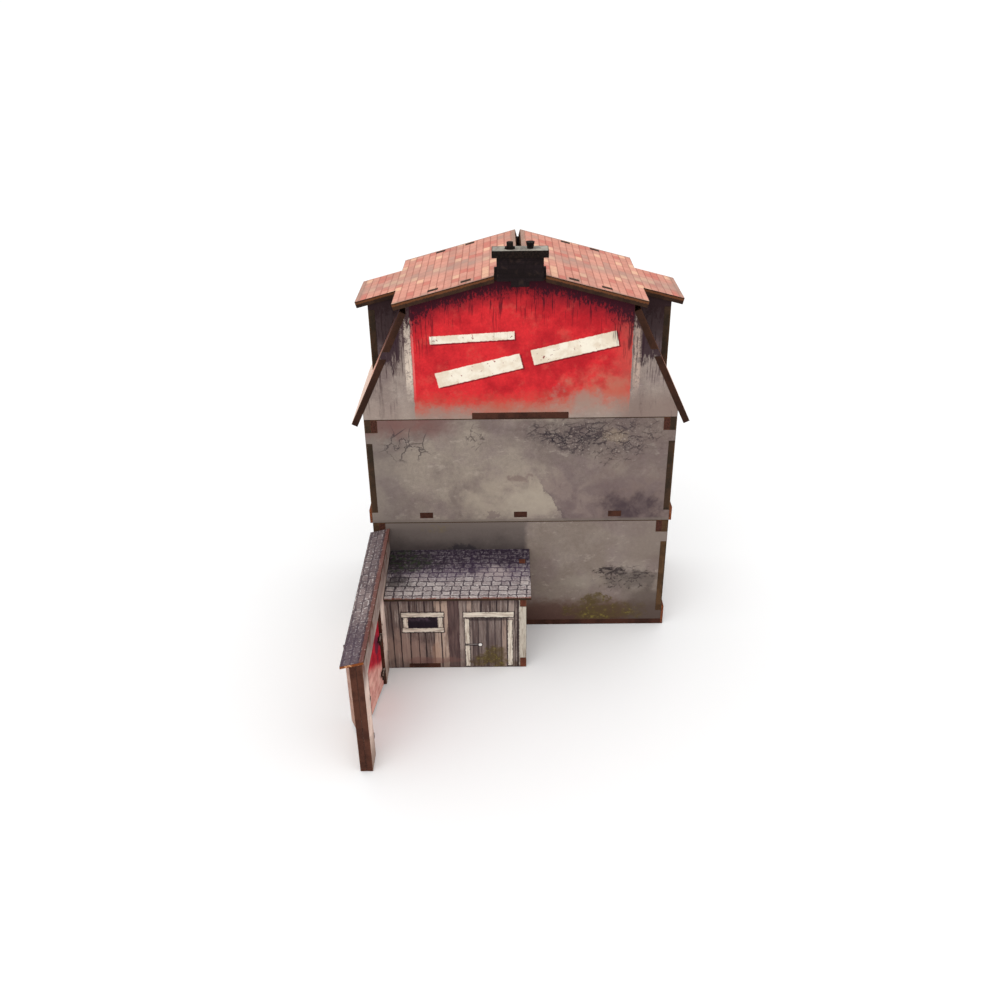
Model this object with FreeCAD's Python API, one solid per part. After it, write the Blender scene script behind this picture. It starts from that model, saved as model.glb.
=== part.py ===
import FreeCAD, Part
import math
import os
from FreeCAD import Vector

# A 28 mm scale tabletop town house cut from 3 mm fibreboard: ground storey, middle storey and
# attic that stack and lift off, a lean-to shed, and a yard wall with a double gate.
# Millimetres. X runs along the front of the house, Y runs from the front to the back, Z is up.
# Sizes are worked out from the house's front face (Y = 0) and its centre line (X = 0); the
# finished parts are moved back so that the origin is at the centre of the whole footprint.

# ---- driving dimensions -------------------------------------------------------------------

SHEET = 3.0                     # thickness of the fibreboard
CARD = 1.2                      # thickness of the slate cards
STRIP = 1.2                     # thickness of the plinth and belt strips
SEAM = 0.2                      # gap between stacked storeys
CLEARANCE = 0.3                 # gap round a lifting piece's locating lip or batten

HOUSE_WIDTH = 146.0
HOUSE_DEPTH = 68.0
GROUND_HEIGHT = 62.6
MIDDLE_HEIGHT = 55.3

RAIL_HEIGHT = 6.4               # ledger rails along the side walls' top edges
RAIL_LIP = 2.2                  # how far the ground storey's rails stand up into the next storey
TOP_TAB = 5.8                   # finger of the front wall below each rail's end
GROUND_FOOT_TAB = 8.6           # finger of the front wall at the foot of the ground storey
MIDDLE_FOOT_TAB = 5.9
PLINTH_HEIGHT = 11.0
BELT_HEIGHT = 7.2

FLOOR_RECESS = 2.5              # middle floor's underside above the storey's lower edge
FLOOR_TAB_WIDTH = 6.3
FLOOR_TAB_SPACING = 46.2
ATTIC_TAB_WIDTH = 44.6

WINDOW_WIDTH = 15.0
WINDOW_HEIGHT = 18.0
WINDOW_SILL = 20.0              # height of a window's sill above its floor
FRAME_RIM = 1.5
FRAME_BAR = 1.1
FRAME_DEPTH = 1.5
DOORWAY_WIDTH = 20.0
DOORWAY_HEIGHT = 36.0
DOORWAY_CENTRE = 30.0
BACK_WINDOW_CENTRE = 32.0

ROOF_ANGLE = math.radians(15.0)
RIDGE_HEIGHT = 189.1            # upper edge of each roof board at the ridge
RIDGE_HALF_GAP = 1.2
EAVE_X = 56.1
WING_X = 75.2
WING_WIDTH = 33.3
ROOF_FRONT_OVERHANG = 3.1
ROOF_BACK_OVERHANG = 1.4
ROOF_TABS = ((21.4, 25.7), (35.8, 40.3))

MANSARD_ANGLE = math.radians(25.5)      # from the vertical
MANSARD_TOP = (53.1, 170.2)             # outer edges of the mansard board
MANSARD_FOOT_HEIGHT = 116.2
MANSARD_TOOTH = (148.0, 151.6)          # the gable's finger between the mansard board's tabs

DORMER_X = 69.5
DORMER_WIDTH = 31.6
DORMER_FINGER = 165.2
DORMER_WINDOW_WIDTH = 13.0
DORMER_WINDOW_HEIGHT = 14.0
DORMER_WINDOW_SILL = 146.0
DORMER_PASSAGE = 19.0           # square hole in the mansard board behind the dormer

CHIMNEY_WIDTH = 20.0
CHIMNEY_FLANGE_WIDTH = 22.3
CHIMNEY_TONGUE_WIDTH = 8.0
CHIMNEY_TONGUE_FOOT = 182.3
CHIMNEY_FOOT = 184.7
CHIMNEY_FLANGE_TOP = 189.6
CHIMNEY_TOP = 195.0
CAP_WIDTH = 24.1
CAP_DEPTH = 8.4
POT_OFFSET = 4.3
POT_RADIUS = 1.4
POT_COLLAR_RADIUS = 2.2
POT_HEIGHT = 2.8

SHED_RIGHT = 2.1
SHED_DEPTH = 34.6
SHED_FLOOR = 2.6
SHED_ROOF_FRONT = 42.4          # top of the shed roof at its front edge
SHED_ROOF_BACK = 46.9
SHED_ROOF_OVERHANG_FRONT = 2.0
SHED_ROOF_OVERHANG_SIDE = 2.3
SHED_FINGERS = (5.6, 36.2)
SHED_FLOOR_TAB = (-55.4, -40.2)
SHED_ROOF_TAB = (-11.2, -8.0)

WALL_INNER_X = -65.5
WALL_LAYER = 2.7
WALL_LENGTH = 104.0
COPING_LEFT = (-74.6, 57.4)     # upper edges of the slanted coping card
COPING_RIGHT = (-64.7, 59.7)
COPING_OVERHANG = 0.6
GATE_NEAR_JAMB = -93.5
GATE_FAR_JAMB = -46.9
GATE_LINTEL = 45.0

LEAF_BOTTOM = 1.0
LEAF_TOP = 44.2
LEAF_GAP = 0.4                  # between the two closed leaves
HINGE_SETBACK = 1.6             # hinge axis from the jamb
PIN_RADIUS = 0.6
PIN_FIT = 0.06                  # running clearance round the pin
BRACKET_HEIGHTS = (7.5, 28.0)
BRACKET_THICKNESS = 2.5
NEAR_BRACKET_REACH = 2.6
FAR_BRACKET_REACH = 6.0
BRACKET_ROOT = 3.0
NEAR_LEAF_ANGLE = 26.0          # how far each leaf stands open, in degrees
FAR_LEAF_ANGLE = 8.0

# ---- worked-out sizes ---------------------------------------------------------------------

HALF_WIDTH = HOUSE_WIDTH / 2
MIDDLE_BASE = GROUND_HEIGHT + SEAM
MIDDLE_TOP = MIDDLE_BASE + MIDDLE_HEIGHT
ATTIC_BASE = MIDDLE_TOP + SEAM
ATTIC_FLOOR_TOP = ATTIC_BASE + SHEET
DEPTH_CENTRE = HOUSE_DEPTH / 2
WALL_OUTER_X = WALL_INNER_X - 2 * WALL_LAYER
HINGE_X = WALL_INNER_X - WALL_LAYER
NEAR_AXIS_Y = GATE_NEAR_JAMB + HINGE_SETBACK
FAR_AXIS_Y = GATE_FAR_JAMB - HINGE_SETBACK
LEAF_LENGTH = (FAR_AXIS_Y - NEAR_AXIS_Y - LEAF_GAP) / 2

FRONT_END = -WALL_LENGTH - COPING_OVERHANG
BACK_END = HOUSE_DEPTH + ROOF_BACK_OVERHANG
TO_ORIGIN = Vector(0, -(FRONT_END + BACK_END) / 2, 0)


# ---- helpers ------------------------------------------------------------------------------

def save(node, *shapes):
    """Writes the solids of the given shapes as one node."""
    solids = [solid for shape in shapes for solid in shape.Solids]
    for solid in solids:
        assert solid.isValid(), node
    result = solids[0] if len(solids) == 1 else Part.makeCompound(solids)
    result = result.copy()
    result.translate(TO_ORIGIN)
    result.exportStep(os.path.join("parts", node + ".step"))


def box(x, y, z):
    """A box between pairs of X, Y and Z limits."""
    return Part.makeBox(x[1] - x[0], y[1] - y[0], z[1] - z[0], Vector(x[0], y[0], z[0]))


def prism(corners, direction):
    """A flat outline pushed along a direction."""
    return Part.Face(Part.makePolygon(corners + corners[:1])).extrude(direction)


def prism_xz(outline, y):
    corners = [Vector(x, y[0], z) for x, z in outline]
    return prism(corners, Vector(0, y[1] - y[0], 0))


def prism_yz(outline, x):
    corners = [Vector(x[0], y, z) for y, z in outline]
    return prism(corners, Vector(x[1] - x[0], 0, 0))


def union(first, *others):
    return first.fuse(list(others)).removeSplitter() if others else first


def without(shape, *tools):
    return shape.cut(list(tools)).removeSplitter() if tools else shape


def mirrored(shape):
    """The same shape on the left-hand side."""
    return shape.mirror(Vector(0, 0, 0), Vector(1, 0, 0))


def on_both_ends(limits):
    """The front pair of Y limits and its twin at the back of the house."""
    return limits, (HOUSE_DEPTH - limits[1], HOUSE_DEPTH - limits[0])


def on_both_sides(limits):
    return limits, (-limits[1], -limits[0])


FRONT_SHEET, BACK_SHEET = on_both_ends((0.0, SHEET))
BETWEEN_WALLS = (SHEET, HOUSE_DEPTH - SHEET)
FULL_DEPTH = (0.0, HOUSE_DEPTH)


# ---- walls and their windows --------------------------------------------------------------

def window_frame(width, height):
    """A glazing frame with one upright and one cross bar, lying in the XZ plane at the origin."""
    half = width / 2
    frame = box((-half, half), (0, FRAME_DEPTH), (0, height))
    pane_width = (width - 2 * FRAME_RIM - FRAME_BAR) / 2
    pane_height = (height - 2 * FRAME_RIM - FRAME_BAR) / 2
    panes = []
    for left in (-half + FRAME_RIM, FRAME_BAR / 2):
        for foot in (FRAME_RIM, FRAME_RIM + pane_height + FRAME_BAR):
            panes.append(box((left, left + pane_width), (-1, SHEET), (foot, foot + pane_height)))
    return without(frame, *panes)


def placed_frame(width, height, position, turn):
    """A window frame turned about Z and put halfway through its wall."""
    frame = window_frame(width, height)
    frame.translate(Vector(0, -FRAME_DEPTH / 2, 0))
    frame.rotate(Vector(0, 0, 0), Vector(0, 0, 1), turn)
    frame.translate(Vector(*position))
    return frame


def facing_wall(base, foot, foot_tab, top, limits):
    """A front or back wall: fingers at the foot and below the rails, side walls' edges between."""
    tab_foot = top - RAIL_HEIGHT - TOP_TAB
    rail_foot = top - RAIL_HEIGHT
    wall = box((-HALF_WIDTH, HALF_WIDTH), limits, (foot, top))
    notches = []
    for edge in on_both_sides((HALF_WIDTH - SHEET, HALF_WIDTH)):
        notches.append(box(edge, limits, (base + foot_tab, tab_foot)))
    for edge in on_both_sides((HALF_WIDTH - 2 * SHEET, HALF_WIDTH)):
        notches.append(box(edge, limits, (rail_foot, top)))
    return without(wall, *notches)


def right_side_wall(base, foot, foot_tab, top):
    """A side wall with fingers that reach both faces of the house."""
    edge = (HALF_WIDTH - SHEET, HALF_WIDTH)
    wall = box(edge, BETWEEN_WALLS, (foot, top))
    fingers = []
    for limits in (FRONT_SHEET, BACK_SHEET):
        fingers.append(box(edge, limits, (base + foot_tab, top - RAIL_HEIGHT - TOP_TAB)))
        fingers.append(box(edge, limits, (top - RAIL_HEIGHT, top)))
    return union(wall, *fingers)


def side_window_hole(sill):
    width = (DEPTH_CENTRE - WINDOW_WIDTH / 2, DEPTH_CENTRE + WINDOW_WIDTH / 2)
    return box((HALF_WIDTH - 2 * SHEET, HALF_WIDTH + SHEET), width, (sill, sill + WINDOW_HEIGHT))


def back_window_hole(centre, sill):
    width = (centre - WINDOW_WIDTH / 2, centre + WINDOW_WIDTH / 2)
    depth = (HOUSE_DEPTH - 2 * SHEET, HOUSE_DEPTH + SHEET)
    return box(width, depth, (sill, sill + WINDOW_HEIGHT))


def side_window_frames(storey, sill):
    for side, sign in (("left", -1), ("right", 1)):
        position = (sign * (HALF_WIDTH - SHEET / 2), DEPTH_CENTRE, sill)
        frame = placed_frame(WINDOW_WIDTH, WINDOW_HEIGHT, position, 90)
        save("%s_%s_window_frame" % (storey, side), frame)


def back_window_frame(centre, sill):
    position = (centre, HOUSE_DEPTH - SHEET / 2, sill)
    return placed_frame(WINDOW_WIDTH, WINDOW_HEIGHT, position, 0)


def ledger_rail(top, lip):
    """A right-hand rail whose ends show in the front and back walls."""
    edge = (HALF_WIDTH - 2 * SHEET, HALF_WIDTH - SHEET)
    rail = box(edge, FULL_DEPTH, (top - RAIL_HEIGHT, top))
    if not lip:
        return rail
    inside = (SHEET + CLEARANCE, HOUSE_DEPTH - SHEET - CLEARANCE)
    return union(rail, box((edge[0], edge[1] - CLEARANCE), inside, (top, top + lip)))


def side_strip(foot, height):
    return box((HALF_WIDTH, HALF_WIDTH + STRIP), FULL_DEPTH, (foot, foot + height))


# ---- ground storey ------------------------------------------------------------------------

def ground_storey():
    save("base_board", box((-HALF_WIDTH, HALF_WIDTH), FULL_DEPTH, (0, SHEET)))
    sill = SHEET + WINDOW_SILL
    measures = (0, SHEET, GROUND_FOOT_TAB, GROUND_HEIGHT)
    save("ground_front_wall", facing_wall(*measures, FRONT_SHEET))
    doorway_left = DOORWAY_CENTRE - DOORWAY_WIDTH / 2
    doorway = box((doorway_left, doorway_left + DOORWAY_WIDTH),
                  (HOUSE_DEPTH - 2 * SHEET, HOUSE_DEPTH + SHEET), (SHEET, SHEET + DOORWAY_HEIGHT))
    window = back_window_hole(-BACK_WINDOW_CENTRE, sill)
    save("ground_back_wall", without(facing_wall(*measures, BACK_SHEET), doorway, window))
    side_wall = without(right_side_wall(*measures), side_window_hole(sill))
    save("ground_right_wall", side_wall)
    save("ground_left_wall", mirrored(side_wall))
    rail = ledger_rail(GROUND_HEIGHT, RAIL_LIP)
    save("ground_ledger_rails", rail, mirrored(rail))
    plinth = side_strip(0, PLINTH_HEIGHT)
    save("right_plinth_strip", plinth)
    save("left_plinth_strip", mirrored(plinth))
    side_window_frames("ground", sill)
    save("ground_back_window_frame", back_window_frame(-BACK_WINDOW_CENTRE, sill))


# ---- middle storey ------------------------------------------------------------------------

def floor_tabs(floor):
    """The middle floor's tabs, which show in the front and back walls."""
    tabs = []
    for centre in (-FLOOR_TAB_SPACING, 0, FLOOR_TAB_SPACING):
        for limits in (FRONT_SHEET, BACK_SHEET):
            tabs.append(box((centre - FLOOR_TAB_WIDTH / 2, centre + FLOOR_TAB_WIDTH / 2), limits, floor))
    return tabs


def middle_storey():
    floor = (MIDDLE_BASE + FLOOR_RECESS, MIDDLE_BASE + FLOOR_RECESS + SHEET)
    tabs = floor_tabs(floor)
    between_sides = (SHEET - HALF_WIDTH, HALF_WIDTH - SHEET)
    save("middle_floor", union(box(between_sides, BETWEEN_WALLS, floor), *tabs))
    sill = floor[1] + WINDOW_SILL - 3
    measures = (MIDDLE_BASE, MIDDLE_BASE, MIDDLE_FOOT_TAB, MIDDLE_TOP)
    save("middle_front_wall", without(facing_wall(*measures, FRONT_SHEET), *tabs))
    windows = [back_window_hole(centre, sill) for centre in (-BACK_WINDOW_CENTRE, BACK_WINDOW_CENTRE)]
    save("middle_back_wall", without(facing_wall(*measures, BACK_SHEET), *tabs, *windows))
    side_wall = without(right_side_wall(*measures), side_window_hole(sill))
    save("middle_right_wall", side_wall)
    save("middle_left_wall", mirrored(side_wall))
    rail = ledger_rail(MIDDLE_TOP, 0)
    save("middle_ledger_rails", rail, mirrored(rail))
    belt = side_strip(MIDDLE_BASE, BELT_HEIGHT)
    save("right_belt_strip", belt)
    save("left_belt_strip", mirrored(belt))
    side_window_frames("middle", sill)
    frames = [back_window_frame(centre, sill) for centre in (-BACK_WINDOW_CENTRE, BACK_WINDOW_CENTRE)]
    save("middle_back_window_frames", *frames)


# ---- attic: lines of the roof and mansard boards ------------------------------------------

def roof_top(x):
    """Height of the roof board's upper face."""
    return RIDGE_HEIGHT - (x - RIDGE_HALF_GAP) * math.tan(ROOF_ANGLE)


def roof_underside(x):
    return roof_top(x) - SHEET / math.cos(ROOF_ANGLE)


def mansard_outer(z):
    """Distance of the mansard board's outer face from the centre line."""
    return MANSARD_TOP[0] + (MANSARD_TOP[1] - z) * math.tan(MANSARD_ANGLE)


def mansard_inner(z):
    return mansard_outer(z) - SHEET / math.cos(MANSARD_ANGLE)


def square_cut(x, z, angle_across):
    """The inner corner that a square-cut board edge makes from its outer corner."""
    return (x - SHEET * math.sin(angle_across), z - SHEET * math.cos(angle_across))


MANSARD_ACROSS = math.pi / 2 - MANSARD_ANGLE
MANSARD_INNER_TOP = square_cut(*MANSARD_TOP, MANSARD_ACROSS)
# Where the mansard board's inner face passes the corner of the house.
GABLE_CORNER_HEIGHT = MANSARD_TOP[1] - ((HALF_WIDTH - MANSARD_TOP[0]) / math.tan(MANSARD_ANGLE)
                                        + SHEET / math.sin(MANSARD_ANGLE))


def roof_tab(x):
    """The gable's tab through the roof board, between two X limits."""
    return [(x[0], roof_underside(x[0])), (x[1], roof_underside(x[1])),
            (x[1], roof_top(x[1])), (x[0], roof_top(x[0]))]


def tooth_outline():
    low, high = MANSARD_TOOTH
    return [(mansard_inner(low), low), (mansard_outer(low), low),
            (mansard_outer(high), high), (mansard_inner(high), high)]


def half_gable(limits):
    outline = [(0, ATTIC_BASE), (HALF_WIDTH, ATTIC_BASE), (HALF_WIDTH, GABLE_CORNER_HEIGHT),
               MANSARD_INNER_TOP,
               (MANSARD_INNER_TOP[0], roof_underside(MANSARD_INNER_TOP[0])),
               (RIDGE_HALF_GAP, roof_underside(RIDGE_HALF_GAP)),
               (0, roof_underside(RIDGE_HALF_GAP))]
    tabs = [prism_xz(roof_tab(x), limits) for x in ROOF_TABS]
    return union(prism_xz(outline, limits), prism_xz(tooth_outline(), limits), *tabs)


def gable(limits):
    half = half_gable(limits)
    slot = box((-ATTIC_TAB_WIDTH / 2, ATTIC_TAB_WIDTH / 2), limits, (ATTIC_BASE, ATTIC_FLOOR_TOP))
    return without(union(half, mirrored(half)), slot)


def gable_window_hole():
    half = DORMER_WINDOW_WIDTH / 2
    return box((-half, half), (HOUSE_DEPTH - 2 * SHEET, HOUSE_DEPTH + SHEET),
               (DORMER_WINDOW_SILL, DORMER_WINDOW_SILL + DORMER_WINDOW_HEIGHT))


def right_mansard_board():
    foot = (mansard_outer(MANSARD_FOOT_HEIGHT), MANSARD_FOOT_HEIGHT)
    outline = [foot, MANSARD_TOP, MANSARD_INNER_TOP, square_cut(*foot, MANSARD_ACROSS)]
    board = prism_xz(outline, FULL_DEPTH)
    notches = [prism_xz(tooth_outline(), limits) for limits in (FRONT_SHEET, BACK_SHEET)]
    passage_foot = DORMER_WINDOW_SILL - 1
    passage = box((MANSARD_TOP[0] - 2 * SHEET, HALF_WIDTH),
                  (DEPTH_CENTRE - DORMER_PASSAGE / 2, DEPTH_CENTRE + DORMER_PASSAGE / 2),
                  (passage_foot, passage_foot + DORMER_PASSAGE))
    return without(board, passage, *notches)


def right_roof_board(chimney_notch):
    """The roof board over one side: a plain rectangle with a wing over the dormer."""
    def sloping_board(x_from, x_to, y):
        outline = [(x_from, roof_top(x_from)), (x_to, roof_top(x_to)),
                   square_cut(x_to, roof_top(x_to), ROOF_ANGLE),
                   square_cut(x_from, roof_top(x_from), ROOF_ANGLE)]
        return prism_xz(outline, y)
    main = sloping_board(RIDGE_HALF_GAP, EAVE_X, (-ROOF_FRONT_OVERHANG, BACK_END))
    wing_width = (DEPTH_CENTRE - WING_WIDTH / 2, DEPTH_CENTRE + WING_WIDTH / 2)
    wing = sloping_board(EAVE_X - 1, WING_X, wing_width)
    slots = [prism_xz(roof_tab(x), limits) for x in ROOF_TABS for limits in (FRONT_SHEET, BACK_SHEET)]
    return without(union(main, wing), chimney_notch, *slots)


# ---- dormers ------------------------------------------------------------------------------

def dormer_face():
    """The upright board at the dormer's outer side, with its window."""
    inner = DORMER_X - SHEET
    front, back = DEPTH_CENTRE - DORMER_WIDTH / 2, DEPTH_CENTRE + DORMER_WIDTH / 2
    foot_inner = MANSARD_TOP[1] - (inner - MANSARD_TOP[0]) / math.tan(MANSARD_ANGLE)
    foot_outer = MANSARD_TOP[1] - (DORMER_X - MANSARD_TOP[0]) / math.tan(MANSARD_ANGLE)
    lower = [(inner, foot_inner), (DORMER_X, foot_outer), (DORMER_X, DORMER_FINGER), (inner, DORMER_FINGER)]
    upper = [(inner, DORMER_FINGER), (DORMER_X, DORMER_FINGER),
             (DORMER_X, roof_underside(DORMER_X)), (inner, roof_underside(inner))]
    half = DORMER_WINDOW_WIDTH / 2
    window = box((inner - 1, DORMER_X + 1), (DEPTH_CENTRE - half, DEPTH_CENTRE + half),
                 (DORMER_WINDOW_SILL, DORMER_WINDOW_SILL + DORMER_WINDOW_HEIGHT))
    face = union(prism_xz(lower, (front, back)), prism_xz(upper, (front + SHEET, back - SHEET)))
    return without(face, window)


def dormer_cheek(limits):
    """A three-cornered side of the dormer, from the mansard board to the face board."""
    inner = DORMER_X - SHEET
    foot = MANSARD_TOP[1] - (inner - MANSARD_TOP[0]) / math.tan(MANSARD_ANGLE)
    outline = [MANSARD_TOP, (inner, foot), (inner, DORMER_FINGER), (DORMER_X, DORMER_FINGER),
               (DORMER_X, roof_underside(DORMER_X)), (MANSARD_TOP[0], roof_underside(MANSARD_TOP[0]))]
    return prism_xz(outline, limits)


def dormers():
    front, back = DEPTH_CENTRE - DORMER_WIDTH / 2, DEPTH_CENTRE + DORMER_WIDTH / 2
    frame = placed_frame(DORMER_WINDOW_WIDTH, DORMER_WINDOW_HEIGHT,
                         (DORMER_X - SHEET / 2, DEPTH_CENTRE, DORMER_WINDOW_SILL), 90)
    pieces = {
        "dormer_face": dormer_face(),
        "dormer_front_cheek": dormer_cheek((front, front + SHEET)),
        "dormer_back_cheek": dormer_cheek((back - SHEET, back)),
        "dormer_window_frame": frame,
    }
    for name, shape in pieces.items():
        save("right_" + name, shape)
        save("left_" + name, mirrored(shape))


# ---- attic --------------------------------------------------------------------------------

def chimney_plate(outline_widths, limits):
    """A stepped plate, symmetrical about the centre line: (half width, foot, top) steps."""
    steps = [box((-half, half), limits, (foot, top)) for half, foot, top in outline_widths]
    return union(*steps)


def chimney():
    tongue = (CHIMNEY_TONGUE_WIDTH / 2, CHIMNEY_TONGUE_FOOT, CHIMNEY_FOOT)
    stack = (CHIMNEY_WIDTH / 2, CHIMNEY_FOOT, CHIMNEY_TOP)
    flange = (CHIMNEY_FLANGE_WIDTH / 2, CHIMNEY_FOOT, CHIMNEY_FLANGE_TOP)
    save("chimney_front_plate", chimney_plate([tongue, stack], (-2 * SHEET, -SHEET)))
    save("chimney_back_plate", chimney_plate([tongue, stack, flange], (-SHEET, 0)))
    cap_top = CHIMNEY_TOP + SHEET
    cap_depth = (-SHEET - CAP_DEPTH / 2, -SHEET + CAP_DEPTH / 2)
    save("chimney_cap", box((-CAP_WIDTH / 2, CAP_WIDTH / 2), cap_depth, (CHIMNEY_TOP, cap_top)))
    upright = Vector(0, 0, 1)
    collared_foot = Vector(-POT_OFFSET, -SHEET, cap_top)
    collar = Part.makeCylinder(POT_COLLAR_RADIUS, POT_HEIGHT / 4, collared_foot, upright)
    pot = Part.makeCylinder(POT_RADIUS, POT_HEIGHT, collared_foot, upright)
    save("chimney_pot_collared", union(pot, collar))
    flared_foot = Vector(POT_OFFSET, -SHEET, cap_top)
    save("chimney_pot_flared", Part.makeCone(POT_RADIUS * 0.9, POT_RADIUS * 1.35, POT_HEIGHT,
                                             flared_foot, upright))


def attic():
    floor = (ATTIC_BASE, ATTIC_FLOOR_TOP)
    tab_width = (-ATTIC_TAB_WIDTH / 2, ATTIC_TAB_WIDTH / 2)
    tabs = [box(tab_width, limits, floor) for limits in (FRONT_SHEET, BACK_SHEET)]
    save("attic_floor", union(box((-HALF_WIDTH, HALF_WIDTH), BETWEEN_WALLS, floor), *tabs))
    batten_outer = HALF_WIDTH - 2 * SHEET - CLEARANCE
    batten = box((batten_outer - SHEET, batten_outer),
                 (SHEET + CLEARANCE, HOUSE_DEPTH - SHEET - CLEARANCE), (ATTIC_BASE - SHEET, ATTIC_BASE))
    save("attic_locating_battens", batten, mirrored(batten))
    save("front_gable", gable(FRONT_SHEET))
    save("back_gable", without(gable(BACK_SHEET), gable_window_hole()))
    save("back_gable_window_frame",
         placed_frame(DORMER_WINDOW_WIDTH, DORMER_WINDOW_HEIGHT,
                      (0, HOUSE_DEPTH - SHEET / 2, DORMER_WINDOW_SILL), 0))
    mansard = right_mansard_board()
    save("right_mansard_board", mansard)
    save("left_mansard_board", mirrored(mansard))
    half_flange = CHIMNEY_FLANGE_WIDTH / 2
    chimney_notch = box((-half_flange, half_flange), (-ROOF_FRONT_OVERHANG - 1, 0),
                        (CHIMNEY_TONGUE_FOOT, CHIMNEY_TOP))
    roof = right_roof_board(chimney_notch)
    save("right_roof_board", roof)
    save("left_roof_board", mirrored(roof))
    dormers()
    chimney()


# ---- shed ---------------------------------------------------------------------------------

def shed_roof_top(y):
    run = SHED_DEPTH + SHED_ROOF_OVERHANG_FRONT
    return SHED_ROOF_BACK + y * (SHED_ROOF_BACK - SHED_ROOF_FRONT) / run


def shed():
    front = (-SHED_DEPTH, -SHED_DEPTH + SHEET)
    side = (SHED_RIGHT - SHEET, SHED_RIGHT)
    floor_tab = box(SHED_FLOOR_TAB, front, (0, SHED_FLOOR))
    floor = box((WALL_INNER_X, side[0]), (front[1], 0), (0, SHED_FLOOR))
    save("shed_floor", union(floor, floor_tab))

    front_top = shed_roof_top(-SHED_DEPTH) - CARD
    front_wall = box((WALL_INNER_X, side[0]), front, (0, front_top))
    corner = box(side, front, SHED_FINGERS)
    save("shed_front_wall", without(union(front_wall, corner), floor_tab))

    def under_roof(y):
        return shed_roof_top(y) - CARD
    outline = [(-SHED_DEPTH, 0), (0, 0), (0, under_roof(0)), (-SHED_DEPTH, under_roof(-SHED_DEPTH))]
    tab_outline = [(y, under_roof(y)) for y in SHED_ROOF_TAB]
    tab_outline += [(y, shed_roof_top(y)) for y in reversed(SHED_ROOF_TAB)]
    tab = prism_yz(tab_outline, side)
    save("shed_side_wall", without(union(prism_yz(outline, side), tab), corner))

    edge = -SHED_DEPTH - SHED_ROOF_OVERHANG_FRONT
    roof_outline = [(edge, under_roof(edge)), (0, under_roof(0)),
                    (0, shed_roof_top(0)), (edge, shed_roof_top(edge))]
    width = (WALL_INNER_X + SEAM, SHED_RIGHT + SHED_ROOF_OVERHANG_SIDE)
    save("shed_roof", without(prism_yz(roof_outline, width), tab))


# ---- yard wall ----------------------------------------------------------------------------

def coping_top(x):
    rise = (COPING_RIGHT[1] - COPING_LEFT[1]) / (COPING_RIGHT[0] - COPING_LEFT[0])
    return COPING_LEFT[1] + (x - COPING_LEFT[0]) * rise


def wall_layer(x, brackets):
    """One layer of the yard wall: cut to the coping's slope, with the gateway and hinge slots."""
    outline = [(x[0], 0), (x[1], 0), (x[1], coping_top(x[1]) - CARD), (x[0], coping_top(x[0]) - CARD)]
    layer = prism_xz(outline, (-WALL_LENGTH, 0))
    gateway = box((x[0] - 1, x[1] + 1), (GATE_NEAR_JAMB, GATE_FAR_JAMB), (-1, GATE_LINTEL))
    return without(layer, gateway, *brackets)


def hinge_bracket(height, jamb, inward, finger_reach):
    """A flat plate let into the jamb: an eye round the pin and a finger that stops the closed leaf.

    inward is +1 where the gateway lies beyond the jamb along +Y, and -1 at the other jamb.
    """
    levels = (height, height + BRACKET_THICKNESS)
    axis_y = jamb + inward * HINGE_SETBACK
    eye_radius = WALL_LAYER / 2
    eye_left, eye_right = HINGE_X - eye_radius, HINGE_X + eye_radius
    finger_left = eye_right + CLEARANCE

    def reach(start, end):
        return tuple(sorted((jamb + inward * start, jamb + inward * end)))
    eye = Part.makeCylinder(eye_radius, BRACKET_THICKNESS, Vector(HINGE_X, axis_y, height))
    neck = box((eye_left, eye_right), reach(-BRACKET_ROOT, HINGE_SETBACK), levels)
    root = box((eye_left, WALL_INNER_X - SEAM), reach(-BRACKET_ROOT, 0), levels)
    finger = box((finger_left, WALL_INNER_X - SEAM), reach(-BRACKET_ROOT, finger_reach), levels)
    hole = Part.makeCylinder(PIN_RADIUS + PIN_FIT, BRACKET_THICKNESS, Vector(HINGE_X, axis_y, height))
    return without(union(eye, neck, root, finger), hole)


def yard_wall():
    near = [hinge_bracket(height, GATE_NEAR_JAMB, 1, NEAR_BRACKET_REACH) for height in BRACKET_HEIGHTS]
    far = [hinge_bracket(height, GATE_FAR_JAMB, -1, FAR_BRACKET_REACH) for height in BRACKET_HEIGHTS]
    save("near_gate_brackets", *near)
    save("far_gate_brackets", *far)
    split = WALL_INNER_X - WALL_LAYER
    save("yard_wall_outer_layer", wall_layer((WALL_OUTER_X, split), near + far))
    save("yard_wall_inner_layer", wall_layer((split, WALL_INNER_X), near + far))
    outline = [(x, z - CARD) for x, z in (COPING_LEFT, COPING_RIGHT)] + [COPING_RIGHT, COPING_LEFT]
    save("wall_coping", prism_xz(outline, (FRONT_END, 0)))


# ---- gate ---------------------------------------------------------------------------------

def gate_leaf():
    """A leaf along +X from its hinge axis at the origin, notched round the two brackets."""
    thickness = (-WALL_LAYER / 2, WALL_LAYER / 2)
    height = LEAF_TOP - LEAF_BOTTOM
    foot = Vector(0, 0, LEAF_BOTTOM)
    knuckle = Part.makeCylinder(WALL_LAYER / 2, height, foot)
    leaf = union(box((0, LEAF_LENGTH), thickness, (LEAF_BOTTOM, LEAF_TOP)), knuckle)
    notch_reach = WALL_LAYER / 2 + 3 * CLEARANCE
    notches = []
    for bracket in BRACKET_HEIGHTS:
        levels = (bracket - CLEARANCE, bracket + BRACKET_THICKNESS + CLEARANCE)
        notches.append(box((-WALL_LAYER, notch_reach), (-WALL_LAYER, WALL_LAYER), levels))
    return without(leaf, Part.makeCylinder(PIN_RADIUS, height, foot), *notches)


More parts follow.
